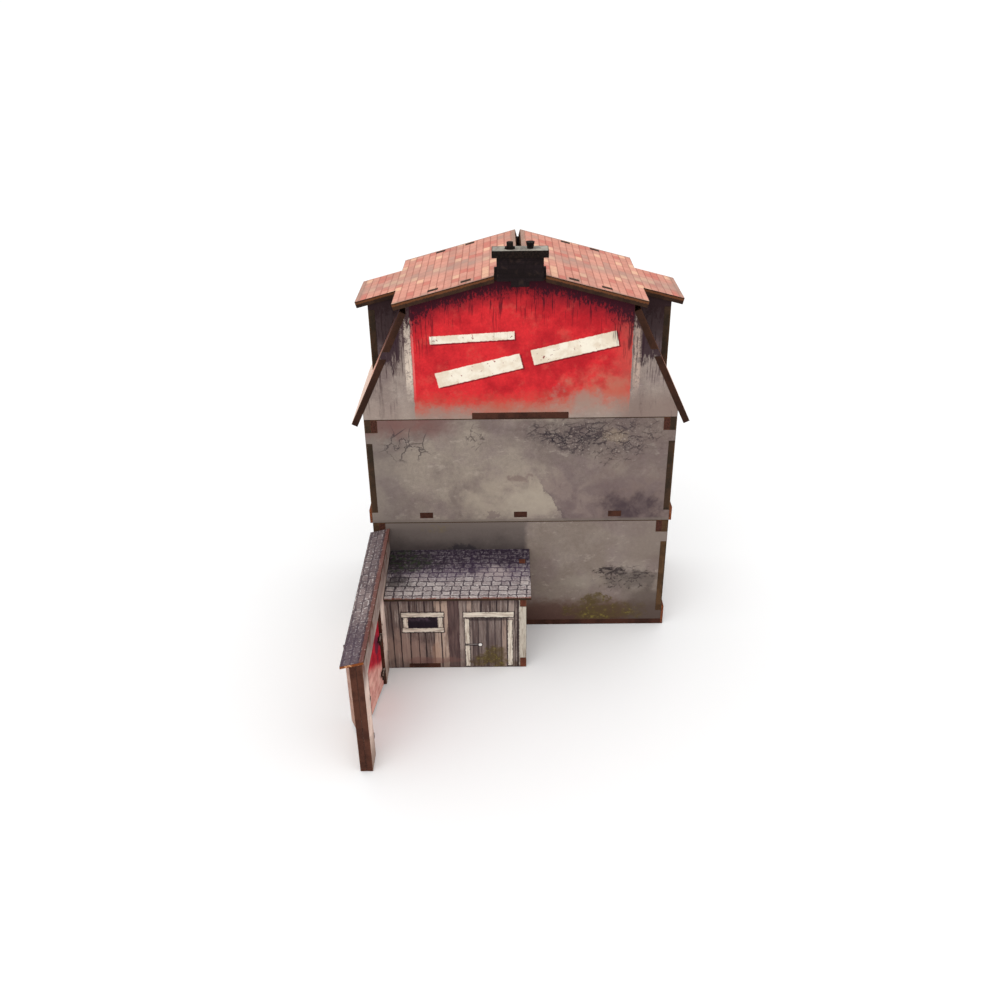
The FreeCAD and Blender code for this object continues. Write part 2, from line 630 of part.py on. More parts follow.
def gate():
    height = LEAF_TOP - LEAF_BOTTOM
    for name, axis_y, heading in (("near", NEAR_AXIS_Y, 90 + NEAR_LEAF_ANGLE),
                                  ("far", FAR_AXIS_Y, -90 - FAR_LEAF_ANGLE)):
        leaf = gate_leaf()
        leaf.rotate(Vector(0, 0, 0), Vector(0, 0, 1), heading)
        leaf.translate(Vector(HINGE_X, axis_y, 0))
        save(name + "_gate_leaf", leaf)
        save(name + "_gate_pin", Part.makeCylinder(PIN_RADIUS, height, Vector(HINGE_X, axis_y, LEAF_BOTTOM)))


def main():
    os.makedirs("parts", exist_ok=True)
    ground_storey()
    middle_storey()
    attic()
    shed()
    yard_wall()
    gate()


main()
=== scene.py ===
import math

import bmesh
import bpy
from mathutils import Matrix, Vector


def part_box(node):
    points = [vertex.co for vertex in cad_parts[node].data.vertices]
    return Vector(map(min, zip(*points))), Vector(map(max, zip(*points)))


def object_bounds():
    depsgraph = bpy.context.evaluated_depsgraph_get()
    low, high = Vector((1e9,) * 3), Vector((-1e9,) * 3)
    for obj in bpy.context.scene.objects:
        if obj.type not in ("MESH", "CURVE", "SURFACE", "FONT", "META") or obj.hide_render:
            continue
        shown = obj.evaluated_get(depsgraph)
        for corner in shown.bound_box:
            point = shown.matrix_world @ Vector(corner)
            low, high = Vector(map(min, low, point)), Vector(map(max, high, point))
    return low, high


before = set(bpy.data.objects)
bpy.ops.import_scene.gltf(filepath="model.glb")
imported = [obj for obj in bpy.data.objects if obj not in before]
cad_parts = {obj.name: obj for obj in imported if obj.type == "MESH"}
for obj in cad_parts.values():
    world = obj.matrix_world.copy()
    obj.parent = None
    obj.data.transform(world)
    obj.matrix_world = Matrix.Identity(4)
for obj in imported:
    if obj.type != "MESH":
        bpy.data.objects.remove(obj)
cad_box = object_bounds()

# Lengths are in millimetres; MM turns them into the scene's metres.
MM = 0.001
ROOF_SLOPE = math.radians(15)
MANSARD_SLOPE = math.radians(25.5)
ROOF_DROP = 3.2             # from the ridge down to the underside of the roof boards
RIM_SHIFT = 0.6             # moves the light rim off the print on the roof boards' edges
MID_EDGE = 1.2              # depth inside an edge that gets no light rim
WINDOW_HEIGHT = 18
ROUGHNESS = 0.75
RELIEF = 0.12               # height of the prints' bumps
# The sign's brush strokes: start and end over the gable's foot, and thickness.
STROKES = (((-40.5, 38.4), (-2.5, 40.4), 3.6),
           ((-38, 19.2), (0.5, 28.4), 7.2),
           ((5.5, 29.8), (43.5, 38.6), 7.2))


def mm_box(node):
    """Lowest and highest corner of a CAD node, in millimetres."""
    low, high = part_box(node)
    return low / MM, high / MM


# ---- signals: shader node outputs with arithmetic ------------------------------------------

tree = None         # the node tree that is being painted


def add_node(kind, inputs=(), **settings):
    """A shader node with its settings made and its inputs linked or filled."""
    node = tree.nodes.new(kind)
    for name, value in settings.items():
        setattr(node, name, value)
    for key, value in dict(inputs).items():
        if isinstance(value, Signal):
            tree.links.new(value.socket, node.inputs[key])
        else:
            node.inputs[key].default_value = value
    return node


class Signal:
    """A number, vector or colour that varies over a surface."""

    def __init__(self, socket):
        self.socket = socket

    def __add__(self, other):
        return calculate("ADD", self, other)

    def __radd__(self, other):
        return calculate("ADD", other, self)

    def __sub__(self, other):
        return calculate("SUBTRACT", self, other)

    def __rsub__(self, other):
        return calculate("SUBTRACT", other, self)

    def __mul__(self, other):
        return calculate("MULTIPLY", self, other)

    def __truediv__(self, other):
        return calculate("DIVIDE", self, other)

    def coat(self, colour, amount):
        """Covers this colour with another one where amount is 1."""
        self.socket = blend(self, colour, amount).socket


def calculate(operation, *values):
    node = add_node("ShaderNodeMath", enumerate(values), operation=operation)
    return Signal(node.outputs[0])


def minimum(a, b):
    return calculate("MINIMUM", a, b)


def maximum(a, b):
    return calculate("MAXIMUM", a, b)


def absolute(a):
    return calculate("ABSOLUTE", a)


def floor(a):
    return calculate("FLOOR", a)


def fraction(a):
    return calculate("FRACT", a)


def length(a, b):
    return calculate("SQRT", a * a + b * b)


def ramp(value, start, end):
    """Goes smoothly from 0 at start to 1 at end."""
    inputs = {"Value": value, "From Min": start, "From Max": end}
    node = add_node("ShaderNodeMapRange", inputs, interpolation_type="SMOOTHSTEP")
    return Signal(node.outputs[0])


def band(value, low, high, soft):
    """1 between low and high, fading to 0 over soft on both sides."""
    return ramp(value, low - soft, low + soft) * ramp(value, high + soft, high - soft)


def vector(x, y, z):
    return Signal(add_node("ShaderNodeCombineXYZ", {0: x, 1: y, 2: z}).outputs[0])


def stretched(size, stretch, seed):
    """The place counted in steps of size, stretched along the axes and moved by the seed."""
    scale = tuple(1 / (size * factor) for factor in stretch)
    moved = add_node("ShaderNodeVectorMath", {0: place, 1: scale, 2: (seed, seed, seed)},
                     operation="MULTIPLY_ADD")
    return Signal(moved.outputs[0])


def noise(size, detail=3, roughness=0.55, seed=0, stretch=(1, 1, 1), distort=0):
    """Cloudy noise around 0.5 whose features are about size millimetres across."""
    inputs = {"Vector": stretched(size, stretch, seed), "Scale": 1, "Detail": detail,
              "Roughness": roughness, "Distortion": distort}
    return Signal(add_node("ShaderNodeTexNoise", inputs).outputs[0])


def wander(size, amount, **options):
    """Noise around 0, up to about half of amount either way."""
    return (noise(size, **options) - 0.5) * amount


def cloud(size, low=0.38, high=0.62, **options):
    """Noise stretched to run from 0 to 1."""
    return ramp(noise(size, **options), low, high)


def chance(a, b=0, seed=0):
    """A random number for each pair of whole numbers."""
    inputs = {"Vector": vector(a, b, seed)}
    return Signal(add_node("ShaderNodeTexWhiteNoise", inputs, noise_dimensions="3D").outputs[0])


def cracks(size, width, seed=0, stretch=(1, 1, 1)):
    """Thin wandering lines that close into cells about size millimetres across."""
    bend = noise(size * 0.7, detail=4, seed=seed + 3) * 1.1
    push = vector(bend, bend * -0.8, bend * 0.9)
    pushed = add_node("ShaderNodeVectorMath", {0: stretched(size, stretch, seed), 1: push},
                      operation="ADD")
    cells = add_node("ShaderNodeTexVoronoi", {"Vector": Signal(pushed.outputs[0]), "Scale": 1},
                     feature="DISTANCE_TO_EDGE")
    return ramp(Signal(cells.outputs["Distance"]), width / size, 0)


def broken_cracks(size, width, seed=0, stretch=(1, 1, 1)):
    """Cracks that come and go instead of closing into cells."""
    gaps = cloud(size * 0.9, low=0.46, high=0.56, seed=seed + 5, detail=4)
    return cracks(size, width, seed, stretch) * gaps


def linear(value):
    """An 8-bit display value as a scene-linear one."""
    value /= 255
    return value / 12.92 if value <= 0.04045 else ((value + 0.055) / 1.055) ** 2.4


def blend(under, over, amount):
    """The colour under, covered by the colour over where amount is 1.

    A colour is a signal, or red, green and blue as 8-bit display values.
    """
    under, over = (colour if isinstance(colour, Signal) else (*map(linear, colour), 1)
                   for colour in (under, over))
    node = add_node("ShaderNodeMix", {0: amount, 6: under, 7: over}, data_type="RGBA")
    return Signal(node.outputs[2])


def shade(colour, factor):
    """A colour made darker or lighter by a factor."""
    colour = colour if isinstance(colour, Signal) else tuple(map(linear, colour))
    node = add_node("ShaderNodeVectorMath", {0: colour, 3: factor}, operation="SCALE")
    return Signal(node.outputs[0])


def spot(u, v, centre, size, wobble=0.35, soft=0.45, seed=0):
    """An uneven oval patch: 1 in the middle, 0 outside. Sizes are half widths."""
    reach = length((u - centre[0]) / size[0], (v - centre[1]) / size[1])
    uneven = wander(max(size) * 0.5, wobble * 4, detail=5, roughness=0.65, seed=seed + 11)
    return ramp(reach + uneven, 1, 1 - soft)


def rectangle(u, v, u_limits, v_limits, soft, seed=0):
    """A painted rectangle with slightly uneven edges."""
    uneven = wander(1.4, 1, seed=seed)
    return band(u + uneven, *u_limits, soft) * band(v + uneven, *v_limits, soft)


def to_joint(count, spacing):
    """Distance from the nearest joint; count is the place in steps of spacing."""
    return (0.5 - absolute(fraction(count) - 0.5)) * spacing


def courses(u, v, width, height, seed=0, wobble=0):
    """Staggered courses along u: distance to the nearest joint, and a random tone per tile."""
    if wobble:
        u = u + wander(width * 0.8, wobble * 2, detail=2, seed=seed + 5)
        v = v + wander(width * 1.1, wobble * 2, detail=2, seed=seed + 9)
    row = floor(v / height)
    along = u / width + chance(row, seed=seed) + row * 0.5
    tone = chance(floor(along), row, seed + 1)
    return to_joint(along, width), to_joint(v / height, height), tone


def boards(u, width, seed=0):
    """Parallel boards across u: distance to the nearest gap, and a random tone per board."""
    scaled = u / width + seed
    return to_joint(scaled, width), chance(floor(scaled), seed=seed + 2)


def stones(u, v, width, height, seed=0):
    """Irregular stones in rough courses: distance to the nearest joint, and a random tone per stone."""
    at = vector(u / width + seed, v / height + seed, 0)
    inputs = {"Vector": at, "Scale": 1, "Randomness": 0.7}
    tones = add_node("ShaderNodeTexVoronoi", inputs, voronoi_dimensions="2D")
    gaps = add_node("ShaderNodeTexVoronoi", inputs, voronoi_dimensions="2D", feature="DISTANCE_TO_EDGE")
    tone = ramp(Signal(tones.outputs["Color"]), 0.15, 0.85)
    return Signal(gaps.outputs["Distance"]) * min(width, height), tone


# ---- materials -----------------------------------------------------------------------------

# Burnt edges of the boards: darkest, lightest, and the line just below the print.
HOUSE_CHAR = ((44, 36, 28), (66, 48, 36), (92, 66, 44))
GROUND_CHAR = ((64, 46, 31), (88, 64, 43), (58, 48, 36))
SHED_CHAR = ((84, 46, 36), (110, 62, 46), (104, 72, 54))
ROOF_CHAR = ((42, 28, 22), (62, 42, 30), (116, 70, 42))
MANSARD_CHAR = ((44, 27, 20), (62, 38, 28), (70, 44, 32))
WALL_CHAR = ((62, 36, 28), (86, 52, 40), (112, 74, 54))
FLOOR_CHAR = ((50, 30, 24), (74, 44, 34), (104, 72, 54))

# The surface point that is being painted, in millimetres, and the way its face looks.
place = None
x = y = z = None
facing_x = facing_y = facing_z = None


def make_material(name, painter, *arguments, metallic=0):
    """A material whose painter returns its colour and height, and optionally its gloss."""
    global tree, place, x, y, z, facing_x, facing_y, facing_z
    material = bpy.data.materials.new(name)
    material.use_nodes = True
    tree = material.node_tree
    tree.nodes.clear()
    coordinates = add_node("ShaderNodeTexCoord")
    scaled = add_node("ShaderNodeVectorMath", {0: Signal(coordinates.outputs["Object"]), 3: 1 / MM},
                      operation="SCALE")
    place = Signal(scaled.outputs[0])
    x, y, z = (Signal(s) for s in add_node("ShaderNodeSeparateXYZ", {0: place}).outputs)
    normal = Signal(coordinates.outputs["Normal"])
    facing_x, facing_y, facing_z = (
        Signal(s) for s in add_node("ShaderNodeSeparateXYZ", {0: normal}).outputs)
    colour, height, *gloss = painter(*arguments)
    bump = add_node("ShaderNodeBump", {"Height": height, "Strength": 0.6, "Distance": RELIEF * MM})
    inputs = {"Base Color": colour, "Normal": Signal(bump.outputs[0]), "Metallic": metallic,
              "Roughness": gloss[0] if gloss else ROUGHNESS, "Specular IOR Level": 0.08}
    shader = add_node("ShaderNodeBsdfPrincipled", inputs)
    output = add_node("ShaderNodeOutputMaterial")
    tree.links.new(shader.outputs[0], output.inputs[0])
    return material


def fibre():
    """Bare fibreboard: brown felted fibres, as on a cut piece's plain face."""
    tone = cloud(9, seed=2, detail=4)
    colour = blend((98, 66, 44), (128, 90, 62), tone)
    flecks = cloud(0.5, low=0.52, high=0.68, seed=7, detail=4, stretch=(1, 1, 2))
    return blend(colour, (74, 46, 30), flecks * 0.5), flecks


def burnt(depth, char):
    """A laser-cut edge: scorched brown with fine stripes, lighter just below the print.

    depth is the distance from the printed face, in millimetres.
    """
    dark, light, rim_colour = char
    patches = cloud(7, seed=4, detail=3)
    stripes = cloud(0.7, seed=6, detail=2)
    colour = blend(dark, light, patches * 0.7 + stripes * 0.3)
    rim = ramp(depth + (stripes - 0.5) * 0.3, 0.65, 0.25)
    return blend(colour, rim_colour, rim * 0.7), stripes


def near_edge(radius):
    """1 at an edge of the piece, fading to 0 about radius millimetres away from it."""
    rounded = add_node("ShaderNodeBevel", {"Radius": radius * MM}, samples=6)
    geometry = add_node("ShaderNodeNewGeometry")
    likeness = add_node("ShaderNodeVectorMath", {0: Signal(rounded.outputs[0]),
                                                 1: Signal(geometry.outputs["Normal"])},
                        operation="DOT_PRODUCT")
    return ramp(Signal(likeness.outputs["Value"]), 0.995, 0.80)


def on_board(printed, art, depth, height=None, char=HOUSE_CHAR):
    """Art where printed is 1, and burnt edges elsewhere; the art is scorched along the cuts."""
    edge_colour, stripes = burnt(depth, char)
    height = stripes * 0.3 if height is None else height * printed + stripes * 0.3 * (1 - printed)
    scorch = near_edge(0.55) * (0.55 + noise(2.5, detail=4, seed=14) * 0.6)
    art.coat((34, 24, 22), minimum(scorch, 0.85))
    return blend(edge_colour, art, printed), height


def faces(amount):
    """1 where a face looks along or against the direction of this normal component."""
    return ramp(absolute(amount), 0.90, 0.97)


def plaster(light=(146, 133, 122), dark=(120, 106, 99)):
    """Old render: cloudy warm grey with blotches, scuffs and a fine grain."""
    colour = blend(dark, light, cloud(24, seed=1, detail=5, distort=0.6))
    mauve = cloud(13, low=0.45, high=0.66, seed=8, detail=5)
    colour.coat((118, 100, 103), mauve * 0.3)
    scuffs = cloud(3.4, low=0.56, high=0.66, seed=15, detail=6, roughness=0.7, stretch=(1.8, 1.8, 1))
    colour.coat(tuple(min(255, c + 26) for c in light), scuffs * 0.4)
    mottled = noise(1.7, detail=6, roughness=0.75, seed=5)
    grain = noise(0.45, detail=3, roughness=0.7, seed=3)
    return shade(colour, 0.55 + mottled * 0.55 + grain * 0.35), grain * 0.5 + mottled * 0.5


def wet_foot(colour):
    """Purple-brown damp at the foot of a wall."""
    level = z + wander(9, 14.4, detail=5, seed=6)
    colour.coat((96, 77, 71), ramp(level, 18, 9.6) * 0.9)
    colour.coat((72, 52, 44), ramp(level, 10.2, 1.2) * 0.9)


def dark_drips(colour, below, reach, amount, seed, tint=(36, 22, 34)):
    """Soot under a roof line: dense and mottled at the top, then specks and long thin runs.

    below is the distance under the roof line, and reach the usual depth of the soot.
    """
    specks = noise(1.1, detail=6, roughness=0.78, seed=seed + 1, stretch=(1, 1, 2.4))
    coarse = noise(7, detail=4, seed=seed + 4, stretch=(1, 1, 2))
    runs = noise(1, detail=3, roughness=0.6, seed=seed + 7, stretch=(1, 1, 16))
    depth = (coarse * 1.5 + 0.25) * reach
    density = 1 - below / depth
    mottled = ramp(specks + density * 0.34, 0.55, 0.73)
    long_runs = ramp(runs, 0.54, 0.62) * ramp(below, depth * 2.4, depth * 0.8) * 0.85
    haze = ramp(density, -0.7, 0.9) * 0.4
    colour.coat(tint, maximum(maximum(mottled, long_runs) * amount, haze))


# ---- front of the house --------------------------------------------------------------------

ground_low, ground_high = mm_box("ground_front_wall")
middle_low, middle_high = mm_box("middle_front_wall")
gable_low = mm_box("front_gable")[0]
front_y = ground_low.y
back_y = mm_box("ground_back_wall")[1].y
half_width = ground_high.x
dormer_front = mm_box("right_dormer_front_cheek")[0].y
dormer_back = mm_box("right_dormer_back_cheek")[1].y


def into_house():
    """Distance from the nearer of the front and back faces of the house."""
    return minimum(absolute(y - front_y), absolute(y - back_y))


def ground_front():
    colour, grain = plaster((140, 128, 119), (126, 113, 104))
    # The wall over the shed is in the dark, with a worn lighter line under the storey above.
    shaded = ramp(x + wander(6, 3, seed=2), 4, 1)
    dim = blend((62, 54, 55), (100, 90, 86), ramp(z + wander(10, 12, seed=5), 44, 57))
    colour.coat(shade(dim, 0.75 + grain * 0.5), shaded * 0.9)
    colour.coat((112, 101, 95), shaded * ramp(z, 57.5, 61.5) * 0.8)
    olive = spot(x, z, (-42, 59.5), (9, 3.2), wobble=0.7, soft=0.8, seed=2)
    colour.coat((116, 102, 76), olive * cloud(1.4, seed=2, detail=5) * 0.6)
    murk = spot(x, z, (-27, 46.5), (10, 4), wobble=0.6, seed=4)
    colour.coat((42, 38, 44), murk * 0.75)
    # Reddish damp at the foot.
    level = z + wander(8, 12, detail=6, roughness=0.65, seed=3)
    foot = blend((76, 52, 46), (90, 68, 60), ramp(z, 2, 14))
    foot = shade(foot, 0.66 + grain * 0.68)
    colour.coat((106, 88, 80), ramp(level, 19, 13) * 0.6)
    colour.coat(foot, ramp(level, 17, 10) * 0.92)
    # Grey worn area on the right around a ragged dark hole that runs out into branching cracks.
    worn = spot(x, z, (57, 27.5), (17, 8), wobble=0.6, soft=0.7, seed=6)
    colour.coat(shade((94, 84, 79), 0.7 + grain * 0.6), worn * 0.8)
    pale = spot(x, z, (30, 27), (15, 7), wobble=0.5, soft=0.8, seed=2)
    colour.coat((146, 136, 124), pale * 0.5)
    drop = maximum(x - 46, 0) * 0.12
    hole = spot(x, z + drop, (46, 33.6), (9, 2.6), wobble=1, soft=0.3, seed=9)
    strands = spot(x, z + drop, (58, 33), (11, 3.6), wobble=1.1, soft=0.6, seed=3)
    torn = cloud(1.2, low=0.45, high=0.55, seed=13, detail=6, roughness=0.75, stretch=(2.5, 1, 1))
    colour.coat((56, 48, 48), maximum(hole, strands * 0.7) * (0.25 + torn * 0.7))
    near_damage = spot(x, z, (54, 29), (20, 10), seed=5)
    colour.coat((50, 42, 42), cracks(6.5, 0.42, seed=2) * near_damage * torn * 0.9)
    colour.coat((86, 75, 69), ramp(x, 48, 60) * ramp(level, 25, 18) * 0.75)
    colour.coat((112, 98, 90), ramp(x, 42, 60) * ramp(z, 34, 42) * 0.5)
    moss(colour, spot(x, z, (43, 7.5), (24, 6.5), wobble=0.7, soft=0.7, seed=7))
    moss(colour, spot(x, z, (38.5, 16.5), (7.5, 4), wobble=0.6, seed=8))
    return on_board(faces(facing_y), colour, into_house(), grain)


def moss(colour, where):
    """Brownish moss in soft clumps with lighter dabs."""
    clumps = cloud(5, low=0.38, high=0.58, seed=5, detail=6, roughness=0.72)
    dabs = cloud(1.5, low=0.50, high=0.70, seed=8, detail=6, roughness=0.7, stretch=(1.6, 1.6, 1))
    green = blend((84, 70, 42), (142, 129, 60), dabs)
    colour.coat((80, 64, 42), where * 0.6)
    colour.coat(green, where * clumps * 0.75)


def middle_front():
    colour, grain = plaster((144, 132, 121), (120, 107, 101))
    level = z - middle_low.z
    clouds = cloud(11, low=0.40, high=0.60, seed=31, detail=6, roughness=0.6, distort=0.8)
    light = spot(x, level, (-4, 17), (38, 20), wobble=0.45, soft=0.8, seed=2)
    colour.coat((164, 151, 136), light * (0.35 + clouds * 0.4))
    colour.coat((168, 156, 141), spot(x, level, (6, 10), (17, 10), seed=4) * 0.6)
    colour = shade(colour, 0.84 + grain * 0.32)
    # Damp mauve area at the lower right, torn off along a slanting edge against the light patch.
    torn = wander(5, 12, detail=7, roughness=0.75, seed=12)
    slant = x - 23 + level * 0.62 + torn
    damp = ramp(slant, -0.5, 0.7) * ramp(level + torn * 1.5, 34, 18)
    mauve = blend((108, 92, 92), (128, 112, 107), clouds)
    colour.coat(shade(mauve, 0.66 + grain * 0.68), damp * 0.8)
    colour.coat((84, 72, 75), band(slant, 0, 0.7, 0.4) * ramp(level, 24, 15) * 0.5)
    colour.coat((104, 86, 82), ramp(x + torn, 26, 48) * (0.2 + clouds * 0.3))
    purple = spot(x, level, (59, 7), (25, 14), wobble=0.7, soft=0.9, seed=6)
    colour.coat((74, 61, 64), purple * (0.6 + clouds * 0.4))
    colour.coat((108, 98, 94), ramp(x + torn, -48, -66) * 0.45)
    # Broken and blackened render at the upper right, with a lighter brown patch in it.
    upper = spot(x, level, (38, 47), (38, 15), wobble=0.4, soft=0.6, seed=8)
    colour.coat(shade((108, 95, 91), 0.66 + grain * 0.68), upper * 0.65)
    worst = spot(x, level, (22, 47), (22, 11), wobble=0.5, soft=0.7, seed=5)
    colour.coat(shade((76, 66, 68), 0.6 + grain * 0.8),
                worst * cloud(3.2, seed=2, detail=6, roughness=0.7) * 0.6)
    tan = spot(x, level, (44, 46), (9, 5), wobble=0.6, soft=0.7, seed=3)
    colour.coat((138, 122, 106), tan * 0.7)
    uneven = cloud(9, low=0.38, high=0.52, seed=17, detail=3)
    colour.coat((52, 44, 48), cracks(4, 0.36, 4, (1.7, 1, 1)) * upper * uneven * 0.8)
    beyond = spot(x, level, (46, 45), (30, 16), wobble=0.6, soft=0.6, seed=18)
    colour.coat((58, 48, 50), broken_cracks(3.2, 0.28, 19, (1.8, 1, 1)) * beyond * 0.75)
    colour.coat((42, 36, 42), cracks(2.7, 0.32, 7, (1.9, 1, 1)) * worst * (0.3 + uneven * 0.6))
    chips = cloud(0.9, low=0.60, high=0.68, seed=9, detail=5)
    colour.coat((180, 168, 156), chips * upper * 0.55)
    # Reddish stain and a few cracks at the upper left.
    rusty = ramp(level + wander(6, 14, detail=5, seed=3), 43, 53) * ramp(x, -24, -46)
    colour.coat((116, 78, 74), rusty * 0.8)
    dim_top = band(level, 48, 60, 4) * cloud(5, seed=6, detail=5)
    colour.coat((108, 92, 87), dim_top * 0.35)
    left = spot(x, level, (-53, 43), (17, 11), wobble=0.3, seed=2)
    colour.coat((62, 54, 56), cracks(9, 0.42, seed=3) * left * 0.8)
    top_left = spot(x, level, (-22, 47), (6, 8), wobble=0.4, seed=4)
    colour.coat((66, 56, 56), broken_cracks(4, 0.35, seed=5) * top_left * 0.7)
    stain = spot(x, level, (-1, 24), (7, 3), wobble=0.9, soft=0.7, seed=1)
    colour.coat((120, 102, 96), stain * 0.7)
    smudge = spot(x, level, (-14, 4), (4, 3), wobble=0.8, seed=3)
    colour.coat((112, 97, 94), smudge * 0.6)
    colour.coat((114, 103, 95), ramp(level, 2.2, 0.8) * 0.7)
    return on_board(faces(facing_y), colour, into_house(), grain)


def roof_line_distance():
    """Distance below the roof boards, in millimetres."""
    ridge = mm_box("right_roof_board")[1].z
    return ridge - ROOF_DROP - absolute(x) * math.tan(ROOF_SLOPE) - z


def gable_plaster():
    colour, grain = plaster((152, 138, 129), (134, 119, 112))
    level = z - gable_low.z
    colour.coat((156, 139, 129), ramp(level, 14, 2) * 0.5)
    return shade(colour, 0.86 + grain * 0.28), grain


def front_gable():
    colour, grain = gable_plaster()
    level = z - gable_low.z
    ragged = noise(5, detail=6, roughness=0.7, seed=21) - 0.5
    fine = noise(1, detail=5, roughness=0.75, seed=23) - 0.5
    clouds = noise(12, detail=5, roughness=0.6, seed=37)
    colour.coat((126, 107, 99), ramp(x, 36, 54) * ramp(level, 16, 5) * 0.7)
    # Worn cream bands on both sides of the painted panel.
    wear = ramp(fine + ragged * 0.5, 0.13, -0.02)
    fade = ramp(level + ragged * 16, 7, 22)
    left_band = band(x + fine * 1.2, -52, -49, 0.35)
    colour.coat((226, 208, 190), left_band * wear * fade * 0.74)
    colour.coat((184, 160, 146), band(x + fine * 1.4, 51, 54.2, 0.5) * wear * fade * 0.95)
    # The red panel, worn to salmon and grey towards its foot and right-hand side.
    panel = band(x + ragged * 1.2 + fine, -48.7, 50.3, 0.25)
    foot = level + ragged * 12 + fine * 6 - ramp(x, 0, 36) * 4
    red = blend((180, 20, 34), (214, 38, 46), ramp(clouds, 0.34, 0.60))
    red = shade(red, 0.96 + fine * 0.8)
    pink = cloud(8, low=0.52, high=0.72, seed=5, detail=6, roughness=0.7)
    red.coat((206, 92, 78), pink * 0.35)
    worn_right = spot(x, level, (36, 15), (22, 15), wobble=0.6, soft=0.9, seed=6)
    red.coat((176, 112, 92), worn_right * (0.25 + ramp(clouds, 0.42, 0.58) * 0.6))
    red.coat((166, 96, 82), ramp(x + ragged * 12, 38, 50) * 0.4)
    red.coat((188, 84, 68), ramp(foot, 15, 5) * 0.65)
    colour.coat((174, 112, 92), panel * ramp(foot, -4, 7) * 0.55)
    colour.coat(red, panel * ramp(foot, 1.5, 10) * 0.96)
    salmon = spot(x, level, (2, 4.5), (28, 7), wobble=0.8, soft=0.8, seed=3)
    colour.coat((178, 96, 76), salmon * 0.5)
    bare = spot(x, level, (30, 9), (15, 8), wobble=0.9, soft=1, seed=12)
    colour.coat((152, 132, 120), bare * 0.7)
    colour.coat((232, 120, 116), panel * band(x + fine, -48.6, -47.8, 0.25) * fade * 0.7)
    # Plain pale brush strokes on the panel, chipped and with a dark edge below.
    for start, end, thickness in STROKES:
        brush_stroke(colour, level, start, end, thickness, grain)
    below = roof_line_distance()
    colour.coat((112, 20, 34), panel * ramp(below + ragged * 14, 14, 4) * 0.55)
    by_chimney = ramp(absolute(x), 20, 8) * 4
    corners = ramp(absolute(x), 34, 46) * 6 + ramp(absolute(x), 46, 53) * 8
    dark_drips(colour, below, by_chimney + corners + 8, 0.95, seed=3, tint=(44, 16, 28))
    # Outside the bands the wall is streaked nearly black, then clears lower down.
    outside = ramp(absolute(x) + fine * 1.5, 53, 54.6)
    streaks = noise(1.3, detail=5, roughness=0.72, seed=4, stretch=(1, 1, 5))
    high_up = ramp(level + ragged * 8, 16, 40)
    soot = ramp(streaks + high_up * 0.36, 0.60, 0.76)
    colour.coat((48, 30, 38), outside * soot * 0.9)
    return on_board(faces(facing_y), colour, into_house(), grain)


def brush_stroke(colour, level, start, end, thickness, grain):
    """A straight pale stroke from start to end, tapering a little, with a shadow under it."""
    run, rise = end[0] - start[0], end[1] - start[1]
    extent = math.hypot(run, rise)
    u = ((x - start[0]) * run + (level - start[1]) * rise) / extent
    v = ((level - start[1]) * run - (x - start[0]) * rise) / extent
    uneven = wander(1.6, 1, detail=5, roughness=0.65, seed=extent)
    half = thickness / 2
    ends = band(u + uneven, 0, extent, 0.2)
    shadow = band(u + uneven, 0.6, extent + 0.7, 0.25) * band(v + uneven, -half - 0.7, half - 0.7, 0.2)
    colour.coat((92, 18, 26), shadow * 0.75)
    chipped = ramp(noise(2.4, detail=5, roughness=0.65, seed=extent + 3), 0.68, 0.62)
    paint = blend((226, 212, 190), (242, 234, 216), cloud(5, seed=7))
    paint = shade(paint, 0.9 + grain * 0.2)
    colour.coat(paint, ends * band(v + uneven, -half, half, 0.2) * chipped * 0.96)


# ---- sides and back ------------------------------------------------------------------------

def sill_runs(colour, u, openings):
    """Dark run-off below windows; each opening is (centre, half width, sill height)."""
    for centre, half, sill in openings:
        streaks = noise(1.3, detail=3, seed=centre + 2, stretch=(1, 1, 12))
        below = sill - z
        run = band(u, centre - half, centre + half, 1) * ramp(below, -0.2, 0.4)
        colour.coat((78, 66, 66), run * ramp(below - streaks * 26, 2, -7) * 0.6)
        surround = band(u, centre - half - 1.8, centre + half + 1.8, 0.2)
        surround = surround * band(z, sill - 1.8, sill + WINDOW_HEIGHT + 1.8, 0.2)
        colour.coat((172, 160, 146), surround * (0.4 + cloud(1.6, seed=centre) * 0.35))


def house_wall(across, base, top, openings):
    """Plain walls of a storey; across is 0 for a side wall, seen along X, and 1 for the back."""
    colour, grain = plaster()
    u = x if across else y
    broken = cloud(17, low=0.52, high=0.64, seed=base + 5, detail=6)
    colour.coat((108, 92, 92), broken * 0.6)
    colour.coat((58, 50, 52), cracks(5, 0.34, seed=base) * broken * 0.6)
    sill_runs(colour, u, openings)
    colour.coat((98, 84, 81), ramp(z + wander(4, 8, seed=6), top - 6, top) * 0.6)
    if base < 1:
        wet_foot(colour)
        moss(colour, spot(u, z, (12, 7), (18, 4.5), seed=2) * 0.8)
    printed = faces(facing_y if across else facing_x)
    depth = into_house() if across else half_width - absolute(x)
    return on_board(printed, colour, depth, grain, GROUND_CHAR if base < 1 else HOUSE_CHAR)


def back_gable(openings):
    colour, grain = gable_plaster()
    sill_runs(colour, x, openings)
    dark_drips(colour, roof_line_distance(), 13, 0.85, seed=5)
    return on_board(faces(facing_y), colour, into_house(), grain)


